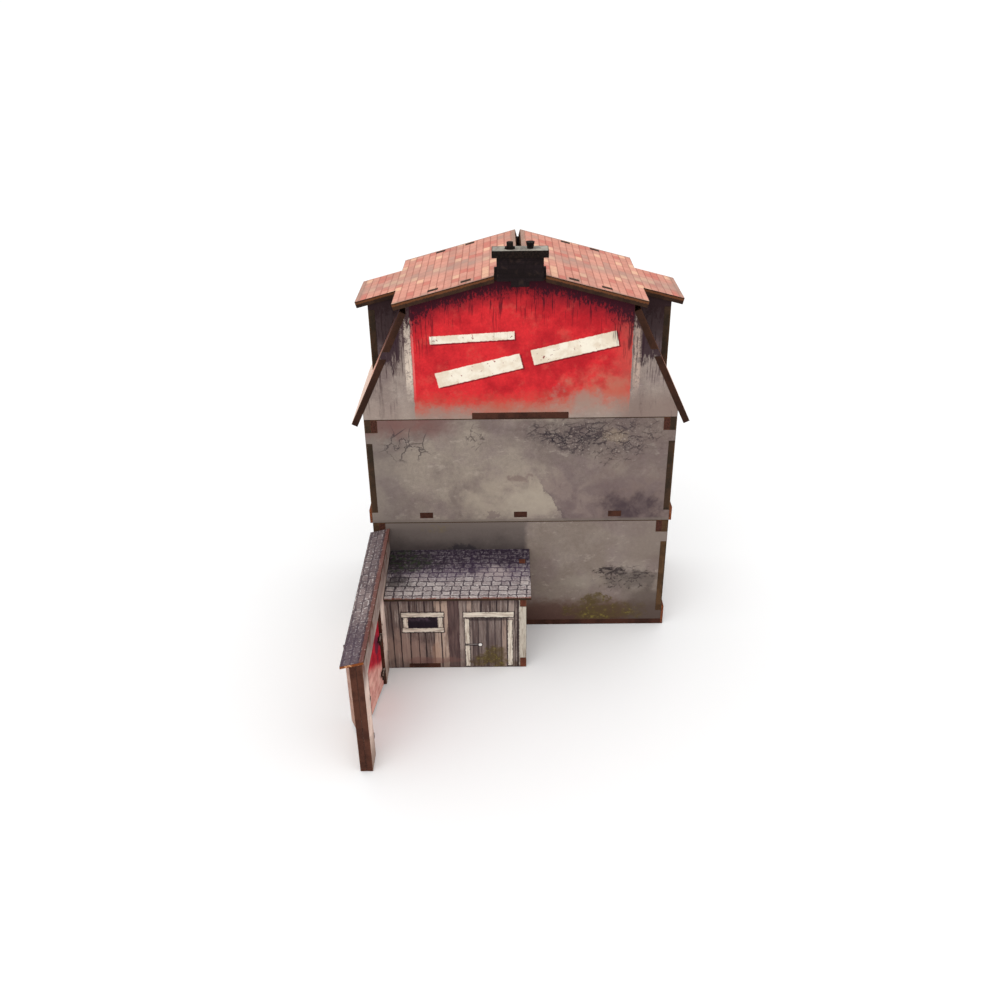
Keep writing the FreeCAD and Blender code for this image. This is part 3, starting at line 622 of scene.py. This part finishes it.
def dormer_print(printed_x):
    """Dormer boards: mauve-grey render under heavy soot; printed_x marks the face board."""
    colour, grain = plaster((104, 94, 96), (80, 70, 74))
    below = roof_line_distance()
    drift = wander(5, 12, detail=4, seed=2)
    colour.coat((62, 46, 47), ramp(below + drift, 26, 12) * 0.8)
    dark_drips(colour, below, 13, 0.92, seed=7, tint=(46, 30, 32))
    printed = faces(facing_x if printed_x else facing_y)
    if printed_x:
        depth = mm_box("right_dormer_face")[1].x - absolute(x)
    else:
        depth = minimum(absolute(y - dormer_front), absolute(y - dormer_back))
    return on_board(printed, colour, depth, grain)


# ---- roofs ---------------------------------------------------------------------------------

def tile_art(u, v, seed=1):
    """Salmon clay tiles in courses along u, with soft variation and few odd tiles."""
    joint_u, joint_v, tone = courses(u, v, 5.6, 3.45, seed=seed, wobble=0.16)
    tile = blend((208, 142, 124), (224, 160, 141), tone)
    tile.coat((240, 194, 160), ramp(tone, 0.86, 0.92) * 0.7)
    tile.coat((206, 116, 104), ramp(tone, 0.13, 0.09) * 0.6)
    tile.coat((182, 148, 134), band(tone, 0.33, 0.38, 0.02) * 0.6)
    soft = noise(2.2, detail=6, roughness=0.72, seed=3)
    tile = shade(tile, 0.78 + soft * 0.44)
    weathered = cloud(12, low=0.48, high=0.68, seed=6, detail=5, stretch=(1, 2, 1))
    tile.coat((170, 140, 127), weathered * 0.35)
    tile.coat((160, 102, 88), ramp(joint_u, 0.3, 0.1) * 0.4)
    ragged_v = joint_v + (soft - 0.5) * 0.4
    tile.coat((148, 88, 76), ramp(ragged_v, 0.40, 0.10) * 0.6)
    return tile, ramp(minimum(joint_u * 1.6, joint_v), 0.1, 0.6)


def roof_tiles():
    """The shallow upper roof: clay tiles in courses parallel to the ridge, plain grey at the rims."""
    up_slope = absolute(x) / math.cos(ROOF_SLOPE)
    tile, height = tile_art(y, up_slope)
    low, high = mm_box("right_roof_board")
    drift = wander(4, 3, detail=5, seed=5)
    ridge = ramp(absolute(x) + drift, 4.2, 2.6)
    eaves = ramp(high.x - absolute(x) + drift, 4, 1.5)
    ends = ramp(minimum(y - low.y, high.y - y) + drift, 2.4, 0.8)
    plain = shade((165, 136, 121), 0.85 + cloud(1.3, seed=9, detail=5) * 0.25)
    tile.coat(plain, maximum(ridge * 0.9, maximum(eaves * 0.6, ends * 0.6)))
    middle = band(y + drift * 2, (low.y + high.y) / 2 - 8, (low.y + high.y) / 2 + 4, 5)
    tile.coat((168, 142, 130), middle * 0.45)
    by_chimney = spot(x, y, (0, low.y + 2), (13, 7), wobble=0.5, seed=3)
    tile.coat((150, 122, 108), by_chimney * 0.7)
    top = roof_line_distance() + ROOF_DROP
    below_top = ramp(facing_z, 0.90, 0.95)
    under = ramp(facing_z, -0.90, -0.95)
    art = blend(fibre()[0], tile, below_top)
    depth = absolute(top - RIM_SHIFT)
    return on_board(maximum(below_top, under), art, depth, height * below_top, ROOF_CHAR)


def slate_art(u, v, width, height, seed, light=(198, 188, 184), dark=(128, 116, 118), ink_amount=0.85):
    """Rough slates in uneven courses, with thin, broken ink-dark joints."""
    v = v + wander(3, 1.7, detail=3, seed=seed + 9)
    u = u + wander(2.4, 2.2, detail=3, seed=seed + 5)
    joint_u, joint_v, tone = courses(u, v, width, height, seed=seed)
    mottled = noise(0.9, detail=6, roughness=0.75, seed=seed)
    slate = blend(dark, light, tone * 0.5 + ramp(mottled, 0.35, 0.65) * 0.5)
    edge = minimum(joint_u, joint_v) + wander(0.9, 0.9, detail=4, seed=seed + 2)
    ink = ramp(edge, 0.48, 0.14) * cloud(3, low=0.30, high=0.44, seed=seed + 7, detail=4)
    highlight = band(edge, 0.5, 0.85, 0.15) * cloud(1.6, low=0.50, high=0.58, seed=seed + 4)
    slate.coat((234, 228, 224), highlight * 0.6)
    return blend(slate, (48, 38, 50), ink * ink_amount), ramp(edge, 0.1, 0.6)


def mansard_slates():
    """The steep lower roof: tiled print outside, with painted glare paling it lower down; plain
    fibreboard inside.
    """
    outward = facing_x * ramp(x, -1, 1) - facing_x * ramp(x, 1, -1)
    outside = ramp(outward, 0.75, 0.85)
    inside = ramp(outward, -0.75, -0.85)
    tile, height = tile_art(y, z / math.cos(MANSARD_SLOPE), seed=4)
    low, high = mm_box("right_mansard_board")
    drift = wander(6, 14, detail=4, seed=2)
    # Painted glare: the tiles fade to pale cream lower down, standing in for light glancing off the steep
    # board.
    tile.coat((228, 211, 195), ramp(z + drift, 146, 128) * 0.64)
    below = high.z - z
    tile.coat((92, 62, 56), ramp(below + drift, 24, 6) * 0.5)
    beside = maximum(ramp(y, dormer_front + 1, dormer_front - 3),
                     ramp(y, dormer_back - 1, dormer_back + 3))
    tile.coat((66, 42, 38), beside * ramp(below + drift * 0.7, 33, 16) * 0.75)
    dark_drips(tile, below, 13, 0.88, seed=2)
    line = absolute(x) * math.cos(MANSARD_SLOPE) + z * math.sin(MANSARD_SLOPE)
    surface = high.x * math.cos(MANSARD_SLOPE) + low.z * math.sin(MANSARD_SLOPE) + RIM_SHIFT
    art = blend(fibre()[0], tile, outside)
    return on_board(maximum(outside, inside), art, absolute(line - surface), height, MANSARD_CHAR)


def shed_slates():
    low, high = mm_box("shed_roof")
    slate, height = slate_art(x, y, 4.5, 3.3, 1)
    drift = wander(8, 16, detail=6, roughness=0.65, seed=2, stretch=(1, 1.5, 1))
    back = y - high.y + drift
    blotch = cloud(1.6, seed=8, detail=6, roughness=0.72)
    slate.coat((84, 66, 92), ramp(back, -28, -16) * (0.35 + blotch * 0.45))
    slate.coat((40, 29, 42), ramp(back, -22, -8) * (0.55 + blotch * 0.4))
    corner = spot(x, y, (low.x + 10, high.y - 8), (25, 15), wobble=0.6, soft=0.8, seed=4)
    slate.coat((40, 35, 36), corner * (0.5 + blotch * 0.4))
    slate.coat((54, 66, 42), corner * cloud(2, low=0.48, high=0.6, seed=6) * 0.6)
    lower = spot(x, y, (low.x + 6, high.y - 24), (10, 8), wobble=0.6, soft=0.8, seed=14)
    slate.coat((46, 42, 42), lower * 0.75)
    worn = spot(x, y, (-12, high.y - 18), (12, 8.5), wobble=0.6, soft=0.9, seed=15)
    slate.coat((184, 170, 167), worn * (0.2 + ramp(height, 0.3, 0.8) * 0.5))
    streak = spot(x, y, (-24, high.y - 13), (2.4, 13), wobble=0.5, soft=0.8, seed=5)
    slate.coat((52, 38, 58), streak * 0.65)
    front = ramp(y + (blotch - 0.5) * 0.8, low.y + 1, low.y + 0.4)
    slate.coat((135, 74, 56), front * 0.75)
    top = ramp(facing_z, 0.90, 0.95)
    return on_board(maximum(top, ramp(facing_z, -0.90, -0.95)), slate, high.z - z, height * top)


def coping_slates():
    low, high = mm_box("wall_coping")
    slate, height = slate_art(y, x, 5.6, 3.2, 5, (148, 132, 130), (98, 85, 86), 0.55)
    damp = cloud(9, low=0.45, high=0.6, seed=3, detail=5, stretch=(1, 2, 1))
    slate.coat((74, 62, 68), damp * 0.5)
    near = ramp(y + wander(6, 12, detail=4, seed=4), low.y + 38, low.y + 10)
    slate.coat((76, 62, 76), near * 0.6)
    edge_drift = wander(2.6, 1.6, detail=4, seed=8)
    inner = ramp(x + edge_drift, high.x - 2.2, high.x - 1.6)
    slate.coat((112, 66, 56), inner * 0.75)
    slate.coat((58, 34, 34), band(x + edge_drift, high.x - 2.3, high.x - 1.9, 0.15) * 0.7)
    flakes = cloud(0.9, low=0.62, high=0.70, seed=12, detail=4)
    slate.coat((206, 192, 180), flakes * 0.45)
    top = ramp(facing_z, 0.80, 0.9)
    colour, relief = on_board(maximum(top, ramp(facing_z, -0.80, -0.9)), slate, high.z - z, height * top)
    # The front cut edge: scorched orange-brown, with painted highlights in pale dabs where the scalloped
    # cut would catch the light.
    front = ramp(facing_y, -0.4, -0.8)
    scorched = blend((132, 70, 34), (214, 160, 118), cloud(1.2, low=0.55, high=0.65, seed=5))
    return blend(colour, scorched, front * 0.85), relief


# ---- shed ----------------------------------------------------------------------------------

def weathered_planks(u, width=3.9, seed=0):
    """Upright boards of uneven width: grey-brown, each of its own tone, with dark gaps and long grain."""
    u = u + wander(9, 6, detail=1, seed=seed, stretch=(1, 1, 40)) + wander(14, 0.8, seed=seed)
    gap, tone = boards(u, width, seed)
    colour = blend((94, 78, 74), (164, 148, 138), tone)
    colour.coat((182, 156, 138), ramp(tone, 0.80, 0.9) * 0.7)
    grain = noise(0.8, detail=5, roughness=0.7, seed=seed + 3, stretch=(1, 1, 16))
    colour.coat((58, 45, 46), ramp(grain, 0.50, 0.64) * 0.7)
    colour.coat((196, 182, 174), ramp(grain, 0.46, 0.36) * 0.4)
    stain = cloud(6, low=0.5, high=0.64, seed=seed + 9, detail=4, stretch=(1, 1, 2.5))
    colour.coat((84, 68, 66), stain * 0.45)
    gap = gap + wander(3, 0.5, seed=seed + 5, stretch=(1, 1, 3))
    colour.coat((42, 32, 35), ramp(gap, 0.48, 0.14) * 0.9)
    return colour, ramp(gap, 0.1, 0.5) * 0.7 + grain * 0.3


def pale_timber(upright=False):
    """Cream-painted wood with grain along the board and some grime."""
    stretch = (1, 1, 9) if upright else (9, 1, 1)
    grain = noise(0.7, detail=4, roughness=0.65, seed=2, stretch=stretch)
    colour = blend((196, 182, 166), (226, 216, 200), ramp(grain, 0.58, 0.42))
    return blend(colour, (132, 116, 104), ramp(grain, 0.57, 0.66) * 0.6)


def framed(colour, u_limits, v_limits, seed):
    """A pale painted board with a dark outline."""
    upright = v_limits[1] - v_limits[0] > u_limits[1] - u_limits[0]
    outline = rectangle(x, z, (u_limits[0] - 0.45, u_limits[1] + 0.45),
                        (v_limits[0] - 0.55, v_limits[1] + 0.4), 0.25, seed=seed)
    colour.coat((40, 30, 34), outline * 0.8)
    colour.coat(pale_timber(upright), rectangle(x, z, u_limits, v_limits, 0.2, seed=seed) * 0.95)


def shed_front():
    low, high = mm_box("shed_front_wall")
    colour, height = weathered_planks(x)
    shadow = ramp(z + wander(5, 4, seed=1), high.z - 4.5, high.z - 0.5)
    colour.coat((74, 60, 62), shadow * 0.6)
    # A broad purple-brown board between the window and the door.
    plank = rectangle(x, z, (-35.6, -30.2), (0, high.z), 0.2, seed=6)
    purple = blend((66, 48, 50), (92, 72, 70), cloud(1, seed=4, stretch=(1, 1, 10)))
    colour.coat(purple, plank * 0.9)
    # Dirty foot of the wall, warmer in the middle.
    foot = z + wander(3.5, 6, detail=4, seed=7)
    colour.coat((84, 70, 66), ramp(foot, 8, 2) * 0.55)
    dry = spot(x, z, (-57, 11), (15, 15), wobble=0.4, soft=0.7, seed=12)
    colour.coat((158, 131, 119), dry * ramp(height, 0.25, 0.6) * 0.62)
    colour.coat((176, 138, 116), spot(x, z, (-42, 7), (3, 9), seed=2) * 0.35)
    colour.coat((120, 84, 78), spot(x, z, (-44, 4.5), (16, 2.6), seed=5) * 0.45)
    # Window: a dark pane in a pale frame.
    colour.coat((46, 36, 40), rectangle(x, z, (-58.3, -37.1), (21.2, 34), 0.4) * 0.55)
    pane = blend((34, 26, 34), (88, 72, 84), ramp(z, 27, 30.4) * cloud(4, seed=4))
    framed(colour, (-57, -54.6), (22, 31), 1)
    framed(colour, (-40.8, -38.2), (22, 31), 2)
    colour.coat(pane, rectangle(x, z, (-54.9, -40.4), (24, 30.6), 0.2))
    framed(colour, (-57.8, -37.5), (30.7, 33.1), 3)
    framed(colour, (-57.6, -37.7), (21.8, 24), 4)
    # Door: narrow boards between pale jambs under a pale lintel.
    leaf = blend(weathered_planks(x, 3.1, seed=4.4)[0], (96, 82, 80), 0.35)
    doorway = rectangle(x, z, (-25.6, -6.8), (0.4, 29.6), 0.2, seed=3)
    colour.coat(leaf, doorway)
    colour.coat((46, 38, 40), rectangle(x, z, (-25.4, -7), (28.2, 30.2), 0.5) * 0.7)
    framed(colour, (-27.5, -25.5), (0.8, 29.3), 5)
    framed(colour, (-6.8, -4.7), (1.2, 28.4), 6)
    framed(colour, (-28.1, -4.1), (30.3, 33.1), 7)
    # Latch: an iron strap ending in a bright knob.
    strap = rectangle(x, z, (-27.8, -20.4), (13.2, 14.6), 0.2)
    colour.coat((52, 46, 48), strap * 0.9)
    colour.coat((150, 142, 138), rectangle(x, z, (-26, -21), (13.9, 14.3), 0.15) * 0.8)
    knob = length(x + 20.3, z - 13.8)
    colour.coat((40, 34, 38), ramp(knob, 1.35, 1.1))
    colour.coat((232, 228, 222), ramp(knob, 1, 0.7))
    moss(colour, spot(x, z, (-13, 6), (6.5, 8), wobble=0.5, seed=4))
    moss(colour, spot(x, z, (-21, 4), (5, 4.5), wobble=0.5, seed=6) * 0.9)
    moss(colour, spot(x, z, (-2.5, 2), (4, 2), wobble=0.3, seed=8) * 0.4)
    # Pale corner post.
    colour.coat((44, 34, 36), rectangle(x, z, (-2.6, -1.4), (0, high.z), 0.25) * 0.8)
    post = shade(pale_timber(True), 0.7)
    colour.coat(post, rectangle(x, z, (-1.3, high.x + 3), (0, high.z + 3), 0.2))
    return on_board(faces(facing_y), colour, y - low.y, height)


def shed_side():
    low, high = mm_box("shed_side_wall")
    colour, height = weathered_planks(y, seed=2.2)
    post = rectangle(y, z, (low.y - 2, low.y + 2.6), (0, high.z), 0.2)
    colour.coat(shade(pale_timber(True), 0.78), post * 0.9)
    foot = z + wander(3.5, 6, detail=4, seed=7)
    colour.coat((84, 70, 66), ramp(foot, 9, 2) * 0.6)
    moss(colour, spot(y, z, (high.y - 10, 4), (9, 4), seed=4) * 0.8)
    return on_board(faces(facing_x), colour, high.x - x, height, SHED_CHAR)


# ---- yard wall and gate --------------------------------------------------------------------

def yard_wall_art():
    """Limewashed rubble: cream below, grey and reddish brown towards the coping."""
    u = y - front_y
    gap, tone = stones(u, z, 6.2, 3.6, seed=7)
    colour, grain = plaster((240, 216, 202), (220, 192, 178))
    stone = blend((176, 152, 140), (226, 202, 186), tone)
    bare = cloud(12, low=0.50, high=0.60, seed=6, detail=6, roughness=0.65)
    colour.coat(stone, bare * 0.6)
    gap = gap + (grain - 0.5) * 0.6
    colour.coat((104, 84, 76), ramp(gap, 0.5, 0.15) * bare * 0.7)
    drift = wander(7, 12, detail=6, roughness=0.65, seed=2)
    colour.coat(shade((118, 102, 98), 0.7 + grain * 0.6), ramp(z + drift, 38, 49) * 0.8)
    rusty = cloud(5, low=0.46, high=0.58, seed=9, detail=5, stretch=(1, 1, 2))
    colour.coat((104, 58, 44), rusty * ramp(z, 46, 55) * 0.8)
    colour.coat((118, 94, 82), ramp(z + drift * 0.4, 20, 4) * 0.75)
    return colour, ramp(gap, 0.1, 0.7) * bare + grain * 0.4


def yard_wall(outer):
    """One layer of the yard wall; its burnt end shows the glue line between the two layers."""
    inner_low, inner_high = mm_box("yard_wall_inner_layer")
    colour, height = yard_wall_art()
    split = absolute(x - inner_low.x)
    depth = x - mm_box("yard_wall_outer_layer")[0].x if outer else inner_high.x - x
    colour, height = on_board(faces(facing_x), colour, depth + 0.3, height, WALL_CHAR)
    seam = ramp(split, 0.3, 0.1) * (1 - faces(facing_x))
    return blend(colour, (38, 23, 18), seam * 0.45), height


def gate_print(pin):
    """The yard side is red over salmon, smudged dark; the street side is plain weathered boards."""
    low, high = mm_box(pin)
    from_hinge = length(x - (low.x + high.x) / 2, y - (low.y + high.y) / 2)
    uneven = wander(5, 5, detail=5, roughness=0.65, seed=2)
    slope = z + uneven - 13.5 - from_hinge * 0.6
    red = blend((158, 22, 40), (190, 38, 54), cloud(5, seed=3, detail=5))
    smudge = cloud(5, low=0.46, high=0.58, seed=7, detail=5, stretch=(1, 1, 2))
    red.coat((84, 34, 56), smudge * band(slope, 3, 18, 4) * 0.85)
    salmon = blend((200, 138, 128), (224, 172, 158), cloud(5, seed=5, detail=5))
    yard_side = blend(red, salmon, ramp(slope, 3, -3))
    street_side = blend((150, 114, 102), (176, 142, 126), cloud(4, seed=11, detail=5))
    street_side.coat((84, 62, 54), ramp(z + uneven, 30, 42) * 0.7)
    colour = blend(yard_side, street_side, ramp(facing_x, 0.1, -0.1))
    gap = to_joint(z / 5.4, 5.4)
    grain = noise(0.8, detail=5, roughness=0.7, seed=9, stretch=(5, 5, 1))
    colour.coat((70, 30, 34), ramp(gap, 0.3, 0.08) * 0.3)
    colour = shade(colour, 0.84 + grain * 0.32)
    side = ramp(absolute(facing_x), 0.84, 0.89)
    return on_board(side, colour, MID_EDGE, ramp(gap, 0.05, 0.4) * 0.6 + grain * 0.4)


def bracket_board():
    tops = ramp(facing_z, 0.85, 0.95)
    pale = blend((96, 86, 78), (186, 176, 162), cloud(2.2, seed=3, detail=4))
    far = ramp(y - front_y, -72, -68)
    pale = blend((40, 28, 24), pale, far)
    return on_board(tops, pale, MID_EDGE, char=ROOF_CHAR)


def steel():
    scratches = noise(0.6, detail=3, seed=2, stretch=(1, 1, 8))
    rust = cloud(1.5, low=0.55, high=0.68, seed=5, detail=4)
    colour = blend((118, 114, 110), (150, 146, 140), scratches)
    return blend(colour, (108, 66, 42), rust * 0.6), scratches, 0.35 + rust * 0.4


# ---- chimney -------------------------------------------------------------------------------

def chimney_brick():
    joint_u, joint_v, tone = courses(x, z, 3.6, 1.9, seed=3, wobble=0.15)
    colour = blend((24, 16, 16), (31, 22, 24), tone)
    colour.coat((14, 10, 10), ramp(minimum(joint_u, joint_v), 0.35, 0.12) * 0.3)
    colour.coat((58, 44, 38), cloud(3, low=0.54, high=0.68, seed=4, detail=5) * 0.4)
    grain = noise(0.6, detail=4, seed=6)
    colour = shade(colour, 0.7 + grain * 0.6)
    edge = 1 - faces(facing_y)
    return blend(colour, (24, 16, 13), edge * 0.7), ramp(minimum(joint_u, joint_v), 0.1, 0.4)


def chimney_cap():
    low, high = mm_box("chimney_cap")
    rim = minimum(minimum(x - low.x, high.x - x), minimum(y - low.y, high.y - y))
    stone = blend((136, 130, 122), (170, 164, 152), cloud(3.5, seed=2, detail=6))
    stone = shade(stone, 0.85 + noise(0.7, detail=4, seed=9) * 0.3)
    stone.coat((46, 40, 38), ramp(rim + wander(1.5, 0.8, seed=5), 0.6, 0.1) * 0.8)
    soot = spot(x, y, ((low.x + high.x) / 2, (low.y + high.y) / 2), (9, 3.2), wobble=0.3, seed=3)
    stone.coat((98, 92, 86), soot * 0.45)
    stripes = cloud(0.7, seed=6)
    edge = blend((16, 11, 9), (34, 24, 20), stripes)
    top = ramp(facing_z, 0.8, 0.95)
    return blend(edge, stone, top), stripes * 0.4


def sooty_pot():
    patches = cloud(1.2, seed=3, detail=4)
    return blend((14, 10, 9), (34, 26, 22), patches), patches


# ---- floors, rails and frames --------------------------------------------------------------

def floor_print():
    """Boarded floor printed on the upper face, fibreboard elsewhere."""
    gap, tone = boards(y, 4.6, 0.3)
    joint = to_joint(x / 34 + tone * 3, 34)
    wood = blend((116, 88, 64), (154, 122, 92), tone)
    grain = noise(0.9, detail=4, roughness=0.65, seed=4, stretch=(14, 1, 1))
    wood.coat((78, 56, 42), ramp(grain, 0.50, 0.66) * 0.6)
    wood.coat((96, 84, 74), cloud(15, seed=3, detail=4) * 0.4)
    wood.coat((44, 32, 26), ramp(minimum(gap, joint), 0.38, 0.12) * 0.85)
    top = ramp(facing_z, 0.90, 0.95)
    bare, flecks = fibre()
    art = blend(bare, wood, top)
    return on_board(faces(facing_z), art, MID_EDGE, ramp(gap, 0.1, 0.5) * top * 0.6 + flecks * 0.2,
                    FLOOR_CHAR)


def bare_board():
    """Rails and battens: fibreboard faces with scorched ends."""
    bare, flecks = fibre()
    ends = maximum(faces(facing_y), faces(facing_z))
    edge_colour, stripes = burnt(MID_EDGE, ROOF_CHAR)
    reddish = blend((56, 33, 27), (78, 46, 36), stripes)
    return blend(bare, blend(edge_colour, reddish, faces(facing_y)), ends), flecks * 0.3 + stripes * 0.2


def strip_print():
    """Plinth and belt strips: stone-coloured outside, scorched reddish edges."""
    colour, grain = plaster((128, 112, 102), (98, 84, 78))
    joint = to_joint(y / 9, 9)
    colour.coat((60, 48, 44), ramp(joint, 0.35, 0.1) * 0.7)
    colour.coat((74, 60, 50), ramp(z + (grain - 0.5) * 8, 6, 0) * 0.6)
    stripes = cloud(0.7, seed=6)
    edge = blend((84, 44, 30), (132, 76, 48), stripes)
    printed = faces(facing_x)
    return blend(edge, colour, printed), grain


def frame_paint():
    """Window frames: worn cream paint with scorched brown edges."""
    across = maximum(faces(facing_x), faces(facing_y))
    worn = cloud(1.4, low=0.54, high=0.66, seed=3, detail=5)
    paint = blend(pale_timber(), (128, 106, 86), worn * 0.7)
    stripes = cloud(0.6, seed=6)
    edge = blend((96, 66, 46), (140, 108, 80), stripes)
    # Frames stand in walls that face along X or Y, so a frame's broad faces look the same way.
    return blend(edge, paint, across), stripes * 0.3


# ---- give the CAD nodes their materials ----------------------------------------------------

def both(piece):
    """The names of a piece's left and right node."""
    return "left_%s right_%s" % (piece, piece)


def paint(nodes, name, painter, *arguments, bevel=0.12, metallic=0):
    """Puts one new material on the named CAD nodes and softens their cut edges a little.

    The corners are joined first, because the nodes' faces are separate and have no shared edges.
    """
    material = make_material(name, painter, *arguments, metallic=metallic)
    for node_name in nodes.split():
        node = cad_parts[node_name]
        node.data.materials.clear()
        node.data.materials.append(material)
        if bevel:
            joined = node.modifiers.new("joined_corners", "WELD")
            joined.merge_threshold = 0.001 * MM
            soften = node.modifiers.new("softened_edges", "BEVEL")
            soften.width = bevel * MM
            soften.segments = 2
            soften.limit_method = "ANGLE"
            soften.angle_limit = math.radians(40)
            level = node.modifiers.new("level_shading", "WEIGHTED_NORMAL")
            level.weight = 100


def opening(frame_node, axis="x"):
    """Centre, half width and sill of the opening round a window frame, in a wall along the axis."""
    low, high = mm_box(frame_node)
    start, end = getattr(low, axis), getattr(high, axis)
    return (start + end) / 2, (end - start) / 2, low.z


def paint_house():
    paint("ground_front_wall", "ground_front_print", ground_front)
    paint("middle_front_wall", "middle_front_print", middle_front)
    paint("front_gable", "sign_gable_print", front_gable)
    for storey, base, top in (("ground", 0, ground_high.z), ("middle", middle_low.z, middle_high.z)):
        windows = [opening(storey + "_right_window_frame", "y")]
        paint("%s_left_wall %s_right_wall" % (storey, storey), storey + "_side_print",
              house_wall, 0, base, top, windows)
    window = opening("ground_back_window_frame")
    paint("ground_back_wall", "ground_back_print", house_wall, 1, 0, ground_high.z, [window])
    _, half, sill = opening("middle_back_window_frames")
    pair = [(side * (half - window[1]), window[1], sill) for side in (-1, 1)]
    paint("middle_back_wall", "middle_back_print", house_wall, 1, middle_low.z, middle_high.z, pair)
    paint("back_gable", "back_gable_print", back_gable, [opening("back_gable_window_frame")])
    paint(both("dormer_face"), "dormer_face_print", dormer_print, True)
    cheeks = both("dormer_front_cheek") + " " + both("dormer_back_cheek")
    paint(cheeks, "dormer_cheek_print", dormer_print, False)
    paint(both("mansard_board"), "mansard_slate_print", mansard_slates)
    paint(both("roof_board"), "roof_tile_print", roof_tiles)
    paint("chimney_front_plate chimney_back_plate", "chimney_brick_print", chimney_brick)
    paint("chimney_cap", "chimney_cap_print", chimney_cap)
    paint("chimney_pot_collared chimney_pot_flared", "chimney_pot_soot", sooty_pot, bevel=0.08)
    paint("base_board middle_floor attic_floor shed_floor", "floor_board_print", floor_print)
    paint("ground_ledger_rails middle_ledger_rails attic_locating_battens", "bare_fibreboard", bare_board)
    paint(both("plinth_strip") + " " + both("belt_strip"), "stone_strip_print", strip_print)
    frames = [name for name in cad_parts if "window_frame" in name]
    paint(" ".join(frames), "window_frame_paint", frame_paint)


def paint_yard():
    paint("shed_front_wall", "shed_plank_print", shed_front)
    paint("shed_side_wall", "shed_side_print", shed_side)
    paint("shed_roof", "shed_slate_print", shed_slates)
    paint("yard_wall_inner_layer", "yard_wall_inner_print", yard_wall, False)
    paint("yard_wall_outer_layer", "yard_wall_outer_print", yard_wall, True)
    paint("wall_coping", "coping_slate_print", coping_slates)
    paint("near_gate_brackets far_gate_brackets", "bracket_board", bracket_board)
    for leaf in ("near", "far"):
        paint(leaf + "_gate_leaf", leaf + "_gate_print", gate_print, leaf + "_gate_pin")
    paint("near_gate_pin far_gate_pin", "gate_pin_steel", steel, bevel=0, metallic=0.9)


# ---- stage ---------------------------------------------------------------------------------

LIGHT_TARGET = Vector((0, 0, 0.08))         # metres
FLOOR_GAP = 0.0001                          # metres, so that the floor and the base don't share a plane
# The camera was fitted to the building's corners in the photo: millimetres and degrees.
CAMERA_PLACE = (-7.03, -387.05, 300)
CAMERA_PITCH = 29.07
CAMERA_YAW = -0.42
CAMERA_ROLL = -0.82
CAMERA_LENS = 34.2


def make_floor():
    mesh = bpy.data.meshes.new("studio_floor")
    builder = bmesh.new()
    bmesh.ops.create_circle(builder, cap_ends=True, segments=64, radius=40)
    builder.to_mesh(mesh)
    builder.free()
    plane = bpy.data.objects.new("studio_floor", mesh)
    bpy.context.scene.collection.objects.link(plane)
    plane.location.z = cad_box[0].z - FLOOR_GAP
    material = bpy.data.materials.new("studio_floor")
    material.use_nodes = True
    shader = material.node_tree.nodes["Principled BSDF"]
    shader.inputs["Base Color"].default_value = (0.98, 0.98, 0.98, 1)
    shader.inputs["Roughness"].default_value = 0.9
    shader.inputs["Specular IOR Level"].default_value = 0
    mesh.materials.append(material)


def make_light():
    scene = bpy.context.scene
    scene.view_settings.view_transform = "Standard"
    world = bpy.data.worlds.new("studio")
    world.use_nodes = True
    background = world.node_tree.nodes["Background"]
    background.inputs["Color"].default_value = (1, 1, 1, 1)
    background.inputs["Strength"].default_value = 1.06
    scene.world = world
    for name, position, size, power in (
            ("key_light", (-0.5, -0.9, 1.3), 0.9, 2.6),
            ("fill_light", (0.9, -0.7, 0.9), 0.9, 0.5)):
        lamp = bpy.data.lights.new(name, "AREA")
        lamp.size = size
        lamp.energy = power
        lamp_object = bpy.data.objects.new(name, lamp)
        scene.collection.objects.link(lamp_object)
        lamp_object.location = position
        towards = LIGHT_TARGET - Vector(position)
        lamp_object.rotation_euler = towards.to_track_quat("-Z", "Y").to_euler()


def make_camera():
    """The camera looks down at the front of the house from a little left of its middle."""
    pitch, yaw, roll = map(math.radians, (CAMERA_PITCH, CAMERA_YAW, CAMERA_ROLL))
    forward = Vector((math.sin(yaw) * math.cos(pitch), math.cos(yaw) * math.cos(pitch), -math.sin(pitch)))
    level = Vector((math.cos(yaw), -math.sin(yaw), 0))
    upward = level.cross(forward)
    right = level * math.cos(roll) + upward * math.sin(roll)
    top = upward * math.cos(roll) - level * math.sin(roll)
    camera = bpy.data.cameras.new("camera")
    camera.lens = CAMERA_LENS
    camera.sensor_width = 36
    camera.clip_start = 0.01
    camera.clip_end = 100
    camera_object = bpy.data.objects.new("camera", camera)
    bpy.context.scene.collection.objects.link(camera_object)
    axes = Matrix((right, top, -forward)).transposed().to_4x4()
    camera_object.matrix_world = Matrix.Translation(Vector(CAMERA_PLACE) * MM) @ axes
    bpy.context.scene.camera = camera_object


paint_house()
paint_yard()
make_floor()
make_light()
make_camera()
